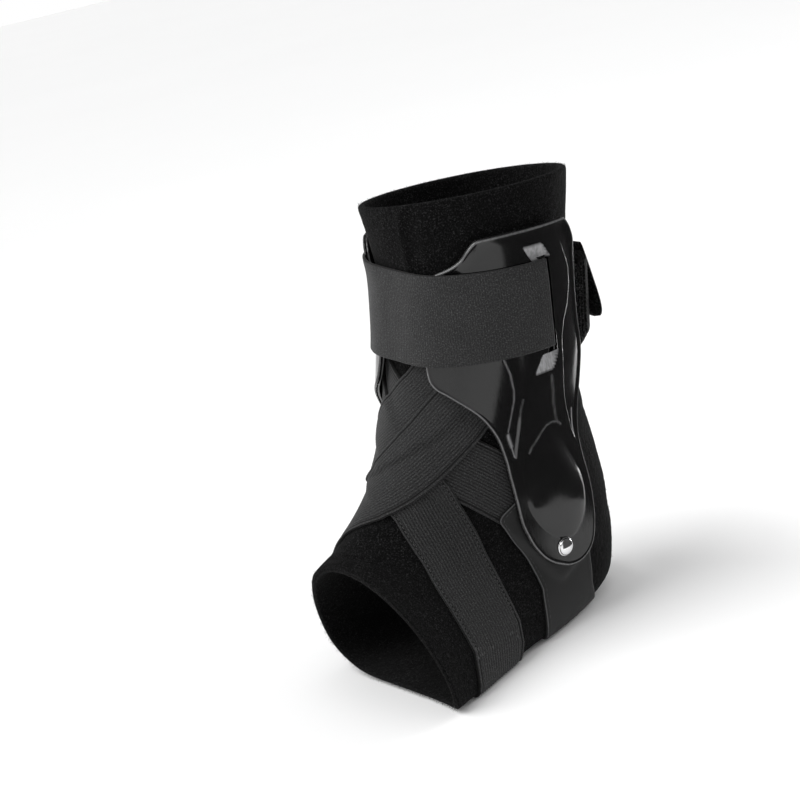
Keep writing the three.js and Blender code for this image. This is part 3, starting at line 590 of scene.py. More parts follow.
# The sleeve
def mixed_noise(up, turn, seeds, size_up, size_turn):
    """Smooth random bumps over the surface, from a few waves that wrap round it."""
    total = np.zeros(np.broadcast(up, turn).shape)
    for _ in range(seeds):
        k = dice.integers(1, int(360 / size_turn))
        f = dice.uniform(0.5, 1.0) / size_up
        total += np.sin(np.radians(turn) * k + up * f * 2 * np.pi + dice.uniform(0, 6.28))
    return total / math.sqrt(seeds)


# Bumps as how deep they are in millimetres, how many waves, and their sizes in up and in turn
NAP = [(0.05, 30, 0.10, 4.0), (0.13, 12, 0.8, 24.0)]
# Soft creases at the back of the ankle: up, width in up, depth
CREASES = [(3.1, 0.16, 0.7), (3.75, 0.14, 0.6), (2.75, 0.10, 0.35)]


def sleeve_relief(up, turn):
    nap = sum(deep * mixed_noise(up, turn, *sizes) for deep, *sizes in NAP)
    # A fold down the front of the collar and a ridge along the instep
    fold = 9.0 + 8.0 * np.exp(-up * 3)
    near_collar = 1 - smoothstep(up, 0.7, 1.3)
    nap += (0.8 * hump(turn, fold, 2.6) - 0.5 * hump(turn, fold + 7, 4.0)) * near_collar
    nap += 0.7 * hump(turn, 24.0 - 3.6 * (up - 7.0), 3.5) * smoothstep(up, 7.2, 8.2)
    for level, width, deep in CREASES:
        nap -= deep * hump(turn, 180, 55.0) * hump(up, level + 0.15 * np.sin(turn / 17), width)
    return nap


def touched(cells):
    """The points of a grid that are a corner of one of these cells. The grid wraps round."""
    points = np.zeros((cells.shape[0] + 1, cells.shape[1]), bool)
    for shift in (0, 1):
        part = np.roll(cells, shift, 1)
        points[:-1] |= part
        points[1:] |= part
    return points


def heel_opening(up, turn):
    """The cells that the opening at the heel leaves out, the points on its edge, and how far
    out each point lies, where 1 is the edge."""
    x, y, z = np.moveaxis(skin(up, turn, -FLEECE / 2), -1, 0)
    across, above = x / (HEEL_WIDTH / 2), (z - HEEL_RISE) / (HEEL_HEIGHT / 2)
    angle = np.arctan2(above, across)
    # A slightly ragged edge
    wobble = 1 + 0.012 * np.sin(7 * angle + 1) + 0.006 * np.sin(17 * angle + 2)
    size = np.hypot(across, above) / wobble
    behind = y > 0
    wide = np.concatenate([size, size[:, :1]], 1)
    middle = 0.25 * (wide[:-1, :-1] + wide[1:, :-1] + wide[:-1, 1:] + wide[1:, 1:])
    gone = (middle < 1) & behind[:-1]
    return gone, touched(gone) & touched(~gone) & behind, size


def sleeve():
    around, rows = 260, 168
    lip = np.array([0, 0.004, 0.012, 0.024, 0.04, 0.07])
    ups = np.concatenate([lip, np.linspace(0.11, 10.89, rows), LAST - lip[::-1]])
    turns = np.linspace(0, 360, around, endpoint=False)
    up, turn = np.meshgrid(ups, turns, indexing="ij")
    from_edge = np.minimum(up, LAST - up) / 0.05
    nap = sleeve_relief(up, turn) * np.clip(from_edge, 0, 1)
    half = FLEECE / 2
    swell = half * (1 - edge_fall(from_edge, 1))
    top = skin(up, turn, -half + swell + nap)
    bottom = skin(up, turn, -half - swell + 0.3 * nap)
    gone, rim, size = heel_opening(up, turn)
    # Draw the points at the edge of the opening onto its outline, and round the edge
    scale = np.where(rim, 1 / np.maximum(size, 1e-6), 1.0)
    for grid in (top, bottom):
        grid[..., 0] *= scale
        grid[..., 2] = HEEL_RISE + (grid[..., 2] - HEEL_RISE) * scale
    middle = (top + bottom) / 2
    for grid in (top, bottom):
        grid += np.where(rim[..., None], (middle - grid) * 0.35, 0)
    # The grids run round first, so that the loop closes round the leg
    ob = between("sleeve_fleece", np.swapaxes(top, 0, 1), np.swapaxes(bottom, 0, 1),
                 np.linspace(0, 300, around + 1), ups * 20, keep=~gone.T, loop=True)
    dress(ob, fleece, "sleeve", slot="fleece")
    return top, rim


sleeve_top, heel_rim = sleeve()


# The crossing straps
def ribbon(route, across, spacing):
    route = np.asarray(route, float)
    fine = np.linspace(0, len(route) - 1, 1500)
    centre = along(route, fine)
    points = skin(centre[:, 0], centre[:, 1], SOLE)
    way = lengths_along(points)
    count = int(way[-1] / spacing)
    goal = np.linspace(0, way[-1], count + 1)
    stops = np.interp(goal, way, fine)
    centre = along(route, stops)
    up, turn = centre[:, 0], centre[:, 1]
    a, b = tangents(up, turn)
    ahead, behind = along(route, stops + 0.05), along(route, stops - 0.05)
    heading = skin(ahead[:, 0], ahead[:, 1], SOLE) - skin(behind[:, 0], behind[:, 1], SOLE)
    side = unit(np.cross(np.cross(a, b), heading))
    shape = (len(stops), len(across))
    distance = centre[:, 2][:, None] * across[None]
    up, turn = walk(np.broadcast_to(up[:, None], shape), np.broadcast_to(turn[:, None], shape),
                    np.broadcast_to(side[:, None], shape + (3,)), distance)
    return np.stack([up, turn], -1), goal


half_width = CROSS_WIDTH / 2
inner_cols = np.arange(-9 * 4 + 1, 9 * 4) * (RIB_PITCH / 4)
edge_cols = np.array([0, 0.12, 0.35, 0.7, 1.1, 1.45, 1.75, 2.05])
across = np.concatenate([-half_width + edge_cols, inner_cols, half_width - edge_cols[::-1]])
ROW_SPACING = 2.1
inner_places, inner_way = ribbon(INNER_ROUTE, across, ROW_SPACING)
outer_places, outer_way = ribbon(OUTER_ROUTE, across, ROW_SPACING)


def cross_profile(d):
    """How high the top of a crossing strap stands above its plain thickness, by the distance
    from its middle line: ribs, and a rolled edge inside a groove."""
    inward = half_width - np.abs(d)
    ribs = 0.13 * np.cos(d * 2 * np.pi / RIB_PITCH) * (inward > 2.3)
    groove = -0.42 * hump(inward, GROOVE, 0.32)
    roll = 0.10 * hump(inward, 0.8, 0.45)
    return ribs + groove + roll - edge_fall(inward, 0.7) * ELASTIC * 0.6


def rows_where(places, rule):
    return np.nonzero(rule(places[..., 1].mean(1)))[0]


def height_on(grid, places):
    return sample(grid, places[..., 0], places[..., 1])


def blended(places, early, late):
    middle = places[..., 1].mean(1)
    share = smoothstep(middle, OVER_UNTIL - 12, OVER_UNTIL + 12)[:, None]
    return early * (1 - share) + late * share


bare = np.zeros((LAST * UP_CELLS + 1, 360 * TURN_CELLS))
inner_flat = height_on(drape(bare), inner_places)
under_outer = lay(bare, inner_places, inner_flat + ELASTIC,
                  rows_where(inner_places, lambda t: t > REAR_FROM))
outer_late = height_on(drape(under_outer), outer_places)
under_inner = lay(bare, inner_places, inner_flat + ELASTIC,
                  rows_where(inner_places, lambda t: t > UNDER_FROM))
under_inner = lay(under_inner, outer_places, outer_late + ELASTIC,
                  rows_where(outer_places, lambda t: t > UNDER_FROM))
inner_under = blended(inner_places, height_on(drape(under_inner), inner_places), inner_flat)
before_outer = lay(under_inner, inner_places, inner_under + ELASTIC,
                   rows_where(inner_places, lambda t: t <= UNDER_FROM))
outer_under = blended(outer_places, height_on(drape(before_outer), outer_places), outer_late)
crossed = lay(lay(before_outer, outer_places, outer_under + ELASTIC),
              inner_places, inner_under + ELASTIC)


def cross_strap(name, places, under, way, node):
    up, turn = places[..., 0], places[..., 1]
    top = skin(up, turn, under + ELASTIC + cross_profile(across)[None])
    few = np.unique(np.r_[0, np.arange(2, len(across) - 2, 5), len(across) - 1])
    bottom = skin(up[:, few], turn[:, few], under[:, few])
    ob = between(name, top, bottom, way, across, bottom_columns=few)
    return dress(ob, cross_elastic, node, slot="elastic")


cross_strap("inner_cross_band", inner_places, inner_under, inner_way, "inner_cross_strap")
cross_strap("outer_cross_band", outer_places, outer_under, outer_way, "outer_cross_strap")


# The patch under the heel
def patch():
    rows = along(PATCH_EDGE, np.linspace(0, len(PATCH_EDGE) - 1, 70))
    edge = np.array([0, 0.006, 0.018, 0.04])
    shares = np.concatenate([edge, np.linspace(0.06, 0.94, 30), 1 - edge[::-1]])
    up = rows[:, None, 0] * (1 - shares) + rows[:, None, 2] * shares
    turn = rows[:, None, 1] * (1 - shares) + rows[:, None, 3] * shares
    places = np.stack([up, turn], -1)
    other = places[:-1][::-1].copy()
    other[..., 1] = 360 - other[..., 1]
    places = np.concatenate([places, other])
    under = height_on(drape(crossed), places)
    piled = lay(crossed, places, under + ELASTIC)
    fall = edge_fall(np.minimum(shares, 1 - shares), 0.02)
    over = under + ELASTIC - fall[None] * ELASTIC * 0.5
    top = skin(places[..., 0], places[..., 1], over)
    bottom = skin(places[..., 0], places[..., 1], under)
    way = np.arange(len(places)) * 2.0
    ob = between("heel_patch", top, bottom, way, shares * 40)
    dress(ob, patch_cloth, "stirrup_patch", slot="patch")
    return places, under, piled


patch_places, patch_under, patched = patch()


def edge_line(places, heights, column, inset, lift):
    """A line along one side of a piece, inset from its edge."""
    a, b = places[:, column], places[:, column + (1 if column == 0 else -1)]
    far = places[:, len(places[0]) // 2]
    p, q = (skin(s[:, 0], s[:, 1], SOLE) for s in (a, far))
    share = inset / np.linalg.norm(q - p, axis=1)[:, None]
    spot = a + (far - a) * share
    return skin(spot[:, 0], spot[:, 1], heights[:, column] + lift)


def resampled(path, step):
    way = lengths_along(path)
    goal = np.linspace(0, way[-1], max(int(way[-1] / step), 2) + 1)
    return np.stack([np.interp(goal, way, path[:, k]) for k in range(3)], -1)


def stitches(path, pitch=2.6, share=0.68, radius=0.22):
    fine = resampled(path, pitch / 8)
    parts = []
    for k in range(0, len(fine) - 8, 8):
        piece = fine[k:k + int(8 * share) + 1]
        taper = np.array([0.45] + [1.0] * (len(piece) - 2) + [0.45]) * radius
        parts.append(tube(piece, taper, 5))
    return parts


PATCH_SIDES = (0, patch_places.shape[1] - 1)
edging = [tube(resampled(edge_line(patch_places, patch_under, side, 0.25, ELASTIC * 0.8), 1.2), 0.32)
          for side in PATCH_SIDES]
dress(joined("patch_edging", edging), edging_thread, slot="patch")


# The strap round the leg
def strap_up(turn):
    drop = STRAP_DROP * smoothstep(-np.cos(np.radians(turn)), 0, 0.95)
    return STRAP_UP + STRAP_TILT * np.sin(np.radians(turn)) + drop


def leaned(up, turn):
    return turn + SLOT_LEAN * (up - strap_up(turn)) * np.sin(np.radians(turn))


per_turn = np.linalg.norm(tangents(np.array(STRAP_UP), np.array(SLOT_TURN), SOLE + SHELL)[1])
SLOT_SPAN = SLOT / per_turn
SLOT_REAR = SLOT_TURN + SLOT_SPAN
strap_edge = np.array([0, 0.10, 0.3, 0.6, 1.0, 1.6])
strap_across = np.concatenate([-UPPER_WIDTH / 2 + strap_edge, np.linspace(-18.6, 18.6, 26),
                               UPPER_WIDTH / 2 - strap_edge[::-1]])


def strap_places(turns):
    level = strap_up(turns)
    per_up = np.linalg.norm(tangents(level, turns)[0], axis=-1)
    up = level[:, None] + strap_across[None] / per_up[:, None]
    return np.stack([up, leaned(up, turns[:, None])], -1)


rear_turns = np.linspace(SLOT_REAR + 0.3, 360 - SLOT_REAR - 0.3, 150)
rear_places = strap_places(rear_turns)
rear_under = height_on(drape(patched), rear_places)
strapped = lay(patched, rear_places, rear_under + ELASTIC)


# The side shells
def edges_at(up, outline):
    return np.interp(up, outline[:, 0], outline[:, 1]), np.interp(up, outline[:, 0], outline[:, 2])


# Lines on a shell as rows of up, turn
CHANNEL_FRONT = np.array([[1.9, 59], [2.3, 64], [2.58, 68], [2.88, 70.4], [3.05, 70.6],
                          [3.38, 69.3], [3.65, 68.2], [3.8, 67.8], [4.03, 69.4], [4.3, 71.6]])
CHANNEL_REAR = np.array([[1.9, 74], [2.6, 76.5], [3.1, 76], [3.28, 75.2], [3.73, 74], [4.3, 71.8]])
CENTRE_RIDGE = np.array([[2.5, 91.5], [2.83, 93.5], [3.12, 95.5], [3.4, 97], [3.75, 99], [3.95, 102]])
REAR_RIDGE = np.array([[0.75, 99], [0.98, 103], [1.25, 107.3], [1.5, 107.8], [1.78, 106],
                       [2.0, 102.5], [2.25, 101], [2.75, 102.2], [3.12, 104.5], [3.53, 107.2],
                       [3.85, 109.4], [4.15, 110.6]])
DOME = {"up": 5.03, "turn": 89.3, "half_up": 1.34, "half_turn": 15.4, "rise": 3.2}


def line_turn(line, up):
    return np.interp(up, line[:, 0], line[:, 1])


def shell_relief(up, turn, scale):
    """Relief of a shell's outside. scale is millimetres for a degree of turn there."""
    def past(line, width):
        d = (turn - line_turn(line, up)) * scale
        return smoothstep(d, -width / 2, width / 2)
    wall = 0.7 + 1.8 * smoothstep(up, 3.55, 3.8)
    in_channel = past(CHANNEL_FRONT, wall) * (1 - past(CHANNEL_REAR, 7.5 - 5.9 * smoothstep(up, 3.0, 3.8)))
    channel = -0.95 * in_channel * smoothstep(up, 1.9, 2.2) * (1 - smoothstep(up, 4.25, 4.34))
    between_ridges = past(CENTRE_RIDGE, 0.8) * (1 - past(REAR_RIDGE, 0.9))
    raised = 0.5 * between_ridges * smoothstep(up, 2.4, 2.7) * (1 - smoothstep(up, 3.7, 4.0))
    step = -0.8 * past(REAR_RIDGE, 0.9) * smoothstep(up, 0.8, 1.1) * (1 - smoothstep(up, 3.9, 4.3))
    q = np.hypot((up - DOME["up"]) / DOME["half_up"], (turn - DOME["turn"]) / DOME["half_turn"])
    lower = up - DOME["up"] + 0.3 * (turn - DOME["turn"]) / DOME["half_turn"]
    blunt = 1.5 - 0.85 * smoothstep(lower, -0.3, 0.5)
    dome = DOME["rise"] * np.clip(1 - q * q, 0, 1) ** blunt
    return channel + raised + step, dome


# Lines of painted highlight on a shell: where its colour is lightened to stand for light caught on its
# crests and creases.
PAINTED_HIGHLIGHT_LINES = [
    # how strong, half width in millimetres, up and turn along the line
    (0.65, 0.38, [[2.3, 64], [2.58, 68], [2.88, 70.4], [3.05, 70.6], [3.38, 69.3], [3.65, 68.2]]),
    (0.2, 0.5, [[2.83, 93.5], [3.12, 95.5], [3.4, 97], [3.75, 99], [3.83, 101.5]]),
    (0.35, 0.4, [[2.25, 101], [2.4, 101], [2.75, 102], [3.12, 104.5], [3.53, 107.5], [3.85, 110]]),
    (0.7, 0.38, [[0.98, 103], [1.25, 107.3], [1.5, 107.8], [1.78, 106.2], [2.0, 102.5],
                 [2.25, 101]]),
    (1.0, 0.35, [[3.65, 113.5], [3.88, 112.5], [4.12, 111]]),
    (0.75, 0.75, [[3.72, 68.2], [3.86, 69.3], [4.0, 70.4]]),
    (0.75, 0.35, [[4.0, 70.4], [4.12, 71.0], [4.26, 71.6]]),
    (0.2, 0.4, [[3.1, 76], [3.28, 75], [3.73, 74], [4.28, 72]]),
    (0.25, 0.4, [[4.23, 79], [4.1, 81], [4.0, 83.5], [3.85, 87.5], [3.75, 91.5], [3.73, 95.5],
                  [3.75, 99]]),
]


up_steps = np.linspace(0, LAST, 300)
up_marks = skin(up_steps, 90.0, 3.0)
up_length = lengths_along(up_marks)


def painted_highlight_lines(up, turn, scale, to_edge, ramps):
    """Where highlight is painted into the colour, as the moulding would catch the light: along its edges,
    its creases and its ramps.
    """
    # Painted highlight along the bead just inside the outline
    painted_highlight = 0.42 * hump(to_edge, 0.75, 0.33)
    for strength, half, line in PAINTED_HIGHLIGHT_LINES:
        line = np.array(line)
        fine = np.linspace(0, len(line) - 1, 60)
        p = np.stack([np.interp(fine, np.arange(len(line)), line[:, k]) for k in (0, 1)], -1)
        x, y = np.interp(up, up_steps, up_length), turn * scale
        near = np.full(up.shape, 1e9)
        for a, b in zip(p[:-1], p[1:]):
            ax, bx = np.interp([a[0], b[0]], up_steps, up_length)
            ay, by = a[1] * scale, b[1] * scale
            dx, dy = bx - ax, by - ay
            t = np.clip(((x - ax) * dx + (y - ay) * dy) / (dx * dx + dy * dy + 1e-9), 0, 1)
            near = np.minimum(near, np.hypot(x - ax - t * dx, y - ay - t * dy))
        painted_highlight = np.maximum(painted_highlight, strength * hump(near, 0, half))
    # and a painted highlight over the ramps into the slot
    return np.clip(np.maximum(painted_highlight, 0.95 * smoothstep(-ramps, 0.02, 0.3)), 0, 1)


# A shell is stiff, so it lies on an eased form of what is under it
SEAT_REACH, SEAT_EASE = 26, 12
shell_seat = averaged(averaged(drape(strapped, SEAT_REACH), SEAT_EASE), SEAT_EASE)
# Ramps that lead into the ends of the slot: way along the slot, length in up, lean in turn by up
RAMPS = ((-1, 0.19, 23.0), (1, 0.30, 15.0))
RAMP_DEPTH, RAMP_FROM, RAMP_TO = 2.0, -4.0, 6.8


def shell(side, name, node):
    table = along(SHELL_EDGE, np.linspace(0, len(SHELL_EDGE) - 1, 700))
    if side < 0:
        table[:, 0] -= INNER_LIFT * (1 - smoothstep(table[:, 0], 0.6, 3.0))
    table = table[np.argsort(table[:, 0], kind="stable")]
    low, high = table[0, 0], table[-1, 0]
    shift = float(strap_up(side * SLOT_TURN) - strap_up(SLOT_TURN))
    slot_ups = [end + shift for end in SLOT_ENDS]
    tiny = np.array([0, 0.006, 0.014, 0.026, 0.042])
    ups = np.concatenate([low + tiny, np.linspace(low + 0.07, high - 0.07, 250), high - tiny[::-1]])
    for end in slot_ups:
        ups[np.argmin(np.abs(ups - end))] = end
    front, rear = edges_at(ups, table)
    swing = smoothstep(ups, 3, 7)
    leaning, straight = side * leaned(ups, side * SLOT_TURN), front + (rear - front) * 0.45
    slot_front = leaning * (1 - swing) + straight * swing
    slot_back = slot_front + SLOT_SPAN * (1 - 0.8 * swing)
    rim = np.array([0, 0.25, 0.55, 0.9, 1.3, 1.8])
    scale = np.linalg.norm(tangents(ups, np.full(len(ups), side * 90.0))[1], axis=-1)

    def columns(a, b, count, rim_at_start):
        width = np.maximum((b - a) * scale, 1e-3)
        fixed = rim[None] * np.minimum(1, width[:, None] / 8)
        rest = fixed[:, -1:] + (width[:, None] - fixed[:, -1:]) * np.linspace(0, 1, count)[None, 1:]
        d = np.concatenate([fixed, rest], 1)
        if not rim_at_start:
            d = (width[:, None] - d)[:, ::-1]
        return a[:, None] + d / scale[:, None]

    front_part = columns(front, slot_front, 92, True)
    slot_part = slot_front[:, None] + (slot_back - slot_front)[:, None] * np.linspace(0, 1, 7)[None, 1:]
    rear_part = columns(slot_back, rear, 52, False)[:, 1:]
    turn = np.concatenate([front_part, slot_part, rear_part], 1)
    up = np.broadcast_to(ups[:, None], turn.shape)
    first_slot = front_part.shape[1] - 1
    keep = np.ones((len(ups) - 1, turn.shape[1] - 1), bool)
    inside = (ups[:-1] >= slot_ups[0] - 1e-9) & (ups[1:] <= slot_ups[1] + 1e-9)
    keep[np.ix_(np.nonzero(inside)[0], np.arange(first_slot, first_slot + 6))] = False

    seat = sample(shell_seat, up, side * turn)
    low_relief, dome = shell_relief(up, turn, scale[:, None])
    # Distance to the outline
    outline = np.concatenate([np.stack([table[:, 0], table[:, 1]], 1),
                              np.stack([table[::-1, 0], table[::-1, 2]], 1)])
    outline = np.concatenate([outline, outline[:1]])
    across_top = np.linspace(outline[-2], outline[-1], 60)
    across_end = np.linspace([high, table[-1, 1]], [high, table[-1, 2]], 30)
    outline = np.concatenate([outline, across_top, across_end])
    border = skin(outline[:, 0], side * outline[:, 1], 3.0)
    here = skin(up, side * turn, 3.0)
    d = np.concatenate([np.sqrt(((row[:, None] - border[None]) ** 2).sum(-1)).min(1)[None]
                        for row in here])
    bead = 0.27 * hump(d, 1.0, 0.55)
    flare = 1.3 * (1 - smoothstep(d, 0.0, 5.0)) * (1 - smoothstep(up, low + 0.25, low + 0.6))
    ramps = np.zeros_like(seat)
    for end, (way, reach, lean) in zip(slot_ups, RAMPS):
        off = (up - end) * way
        beside = turn - leaned(end, SLOT_TURN) + lean * off
        inside_turn = smoothstep((beside - RAMP_FROM) * scale[:, None], -0.25, 0.25) * (
            1 - smoothstep((beside - RAMP_TO) * scale[:, None], -0.25, 0.25))
        deep = RAMP_DEPTH * (1 - np.clip(off / reach, 0, 1))
        ramps -= deep * inside_turn * (off >= -1e-6) * (off < reach)
    fade = smoothstep(d, 0.8, 2.5)
    over = (seat + SHELL + low_relief * fade + dome + bead + flare + ramps
            - edge_fall(d, 0.8) * SHELL * 0.55)
    under = seat + dome + flare * 0.9
    over = np.maximum(over, under + 0.35)
    top, bottom = skin(up, side * turn, over), skin(up, side * turn, under)
    # Painted highlight along the shell's edges, creases and ramps, kept as an attribute for its colour
    painted_highlight = painted_highlight_lines(up, turn, scale[:, None], d, ramps)
    ob = between(name, top, bottom, ups * 22, turn * 0.8, keep=keep, painted_highlight=painted_highlight)
    dress(ob, plastic, node, slot="shell")
    places = np.stack([up, side * turn], -1)
    solid_rows = seat + np.minimum(over - seat, SHELL + 0.4)
    return places, seat, over, solid_rows


outer_shell = shell(1, "outer_side_shell", "lateral_shell")
inner_shell = shell(-1, "inner_side_shell", "medial_shell")
shelled = lay(strapped, outer_shell[0], outer_shell[3])
shelled = lay(shelled, inner_shell[0], inner_shell[3])


EASE = 13                   # rows of the strap over which its bends are eased


def eased(heights, r):
    wide = np.pad(heights, ((r, r), (0, 0)), mode="edge")
    return sum(wide[k:k + len(heights)] for k in range(2 * r + 1)) / (2 * r + 1)


def pulled_tight(places, heights):
    """A strap under pull goes straight between what it lies on: the outline seen from above of
    each of its columns is made convex."""
    here = skin(places[..., 0], places[..., 1], heights)[..., :2]
    out = unit(skin(places[..., 0], places[..., 1], heights + 1)[..., :2] - here)
    result = heights.copy()
    for j in range(heights.shape[1]):
        p = here[:, j]
        hull = []
        for k in range(len(p)):
            while len(hull) > 1:
                a, b = p[hull[-2]], p[hull[-1]]
                if (b[0] - a[0]) * (p[k][1] - b[1]) - (b[1] - a[1]) * (p[k][0] - b[0]) > 0:
                    break
                hull.pop()
            hull.append(k)
        for a, b in zip(hull[:-1], hull[1:]):
            k = np.arange(a + 1, b)
            line = p[b] - p[a]
            off = p[a] - p[k]
            n = out[k, j]
            t = (off[:, 0] * line[1] - off[:, 1] * line[0]) / (n[:, 0] * line[1] - n[:, 1] * line[0])
            result[k, j] += np.maximum(t, 0)
    smooth = eased(eased(result, EASE), EASE)
    missing = np.pad(np.maximum(heights - smooth, 0), ((2 * EASE, 2 * EASE), (0, 0)), mode="edge")
    missing = np.max([missing[k:k + len(heights)] for k in range(4 * EASE + 1)], axis=0)
    return smooth + eased(eased(missing, EASE), EASE)


def upper_band():
    fold = SLOT_REAR - 3.4
    front_turns = np.linspace(-fold, fold, 310)
    dive = 10
    places_front = strap_places(front_turns)
    over = pulled_tight(places_front, height_on(drape(shelled, 5), places_front))
    swing = np.linspace(0, np.pi / 2, dive + 2)[1:-1]
    stop = fold + 1.6 * np.sin(swing)
    down = np.cos(swing) ** 0.8
    outer_dive = strap_places(stop)
    inner_dive = strap_places(-stop[::-1])
    h_out = over[-1][None] * down[:, None] + rear_under[0][None] * (1 - down[:, None])
    h_in = over[0][None] * down[::-1, None] + rear_under[-1][None] * (1 - down[::-1, None])
    places = np.concatenate([places_front, outer_dive, rear_places, inner_dive])
    under = np.concatenate([over, h_out, rear_under, h_in])
    middle = skin(places[:, 16, 0], places[:, 16, 1], SOLE)
    way = lengths_along(np.concatenate([middle, middle[:1]]))
    fall = edge_fall(UPPER_WIDTH / 2 - np.abs(strap_across), 0.6)
    waves = 0.05 * np.sin(way[:-1] * 2 * np.pi / 9.7)[:, None] * np.cos(strap_across / 7.0)[None]
    top_height = under + ELASTIC - (fall * ELASTIC * 0.6)[None] + waves
    top = skin(places[..., 0], places[..., 1], top_height)
    bottom = skin(places[..., 0], places[..., 1], under)
    v = np.broadcast_to(strap_across, (len(way), len(strap_across)))
    ob = between("upper_band", top, bottom, way, v, loop=True)
    dress(ob, upper_elastic, "upper_strap", slot="elastic")


upper_band()


# The hook tab
def hook_tab():
    root_up, root_turn = float(strap_up(TAB_TURN)), TAB_TURN
    a, b = tangents(np.array(root_up), np.array(root_turn))
    per_up, per_round = np.linalg.norm(a), np.linalg.norm(b)
    near = np.linalg.norm(skin(rear_places[..., 0], rear_places[..., 1], 0)
                          - skin(root_up, root_turn, 0), axis=-1) < TAB_REACH
    base = rear_under[near].max() + ELASTIC + 0.35
    radius = HALF_WIDTH + base

    def slab(low, high, start, end, level, thick=0.95, corner=4.0, slope=0.0):
        """A tape with rounded corners at its start, from start to end round the leg."""
        part = np.linspace(0, 1, 25)
        across = low + (high - low) * part
        round_off = np.where(part < 0.5, np.abs(2 * part - 1), 0.55 * np.abs(2 * part - 1))
        bow = corner * (1 - np.clip(1 - round_off ** 4, 0, 1) ** 0.5)
        first = start + bow + slope * part
        share = np.r_[0, 0.004, 0.012, 0.03, np.linspace(0.06, 0.97, 44), 0.99, 1]
        round_mm = first[None] + (end - first[None]) * share[:, None]
        up = root_up - across[None] / per_up + 0 * round_mm
        turn = root_turn + round_mm / per_round
        height = level(round_mm)
        rim = np.minimum(share[:, None] * (end - start), 40 * np.minimum(part, 1 - part)[None])
        fall = edge_fall(rim, 0.5)
        top = skin(up, turn, height + thick * (1 - 0.35 * fall))
        bottom = skin(up, turn, height + thick * 0.35 * fall)
        return top, bottom, share, part

    stacks = [(-17.0, 20.0, -51.5, 20.0, 0.0, 1.2), (-15.6, 20.6, -50.7, 18.5, 1.0, 1.4),
              (-13.8, 21.0, -49.8, 17.0, 2.0, 1.6), (-12.0, 21.2, -48.5, 15.5, 3.0, 2.0)]
    for k, (low, high, start, end, rise, corner) in enumerate(stacks):
        t, bt, share, part = slab(low, high, start, end, lambda r, rise=rise: base + rise + 0 * r,
                                  corner=corner)
        ob = between(f"hook_tape_{k + 1}", t, bt, share * 50, part * 40)
        dress(ob, hooks, *(["closure_tab"] if k == 0 else []), slot="hook")
    leaves = 18.0
    stand = lambda r: base + 4.1 + radius * (1 / np.cos(np.maximum(-r - leaves, 0) / radius) - 1)
    t, bt, share, part = slab(-8.5, 24.5, -44.0, 14.0, stand, corner=11.0, slope=19.0)
    dress(between("hook_tongue", t, bt, share * 50, part * 40), hooks, slot="hook")


hook_tab()


# Rivets
RIVET_SHANK, RIVET_FLANGE, RIVET_SIDES = 2.0, 0.45, 48


def turned(foot, profile, tip, axis, sides):
    """Points and faces of a body turned about an axis: rows of radius and height above foot."""
    across = unit(np.cross(axis, [0, 0, 1.0]))
    other = np.cross(axis, across)
    points = [foot + axis * profile[0][1]]
    for radius, height in profile:
        for angle in 2 * math.pi * np.arange(sides) / sides:
            points.append(foot + axis * height
                          + (across * math.cos(angle) + other * math.sin(angle)) * radius)
    points.append(foot + axis * tip)
    faces = []
    for k in range(sides):
        after = (k + 1) % sides
        faces.append([0, 1 + after, 1 + k])
        for i in range(len(profile) - 1):
            a, b = 1 + i * sides, 1 + (i + 1) * sides
            faces.append([a + k, a + after, b + after, b + k])
        a = 1 + (len(profile) - 1) * sides
        faces.append([a + k, a + after, len(points) - 1])
    points = np.array(points)
    if inside_out(points - points.mean(0), faces):
        faces = [face[::-1] for face in faces]
    return points, faces


def rivet(side, shell_places, shell_top, name, node):
    turn = side * RIVET_TURN
    centre = skin(RIVET_UP, turn, 0)
    axis = normals(np.array(RIVET_UP), np.array(turn))
    near = np.linalg.norm(skin(shell_places[..., 0], shell_places[..., 1], 0) - centre, axis=-1)
    spots = skin(shell_places[..., 0], shell_places[..., 1], shell_top)[near < RIVET_HEAD * 0.45]
    seat = centre + axis * ((spots - centre) @ axis).max()
    head, low = RIVET_HEAD / 2, 0.5
    profile = [(RIVET_SHANK, -3.2), (RIVET_SHANK, 0.05), (head + 0.35, 0.05),
               (head + RIVET_FLANGE, 0.25), (head + 0.25, 0.45)]
    profile += [(head * math.cos(a), low + (RIVET_DOME - low) * math.sin(a))
                for a in np.linspace(0, np.pi / 2, 14)[:-1]]
    points, faces = turned(seat, profile, RIVET_DOME, axis, RIVET_SIDES)
    dress(mesh_from(name, points, faces), chrome, node, slot="rivet")


rivet(1, outer_shell[0], outer_shell[2], "outer_rivet", "lateral_rivet")
rivet(-1, inner_shell[0], inner_shell[2], "inner_rivet", "medial_rivet")


# Sewing: along the edges of the outer strap low on the foot, and along the patch
def strap_stitches(places, under, way, start, end, inset):
    rows = np.nonzero((way >= start) & (way <= end))[0]
    lines = []
    for sign in (-1, 1):
        column = int(np.argmin(np.abs(across - sign * (half_width - inset))))
        spot = places[rows, column]
        path = skin(spot[:, 0], spot[:, 1], under[rows, column] + ELASTIC - 0.1)
        lines += stitches(path, 2.3, 0.7, 0.2)
    return lines


# Millimetres along the strap from each of its two ends
total = outer_way[-1]
SEWN = ((total - 118, total - 42), (42, 100))
sewing = []
for start, end in SEWN:
    sewing += strap_stitches(outer_places, outer_under, outer_way, start, end, GROOVE)
for column in PATCH_SIDES:
    sewing += stitches(edge_line(patch_places, patch_under, column, 2.2, ELASTIC), 2.6, 0.66, 0.13)
dress(joined("stitching", sewing), thread, slot="elastic")


# Loose fibres along the cut edges of the fleece, and a few all over it
EDGE_FIBRES, HEEL_FIBRES, FACE_FIBRES = 1500, 1500, 9000
# Up at the edge, way into the sleeve, how far its fibres lean out, and the longest of them
CUT_EDGES = ((LAST, -1, 1.3, 1.7), (0, 1, 1.2, 1.3))


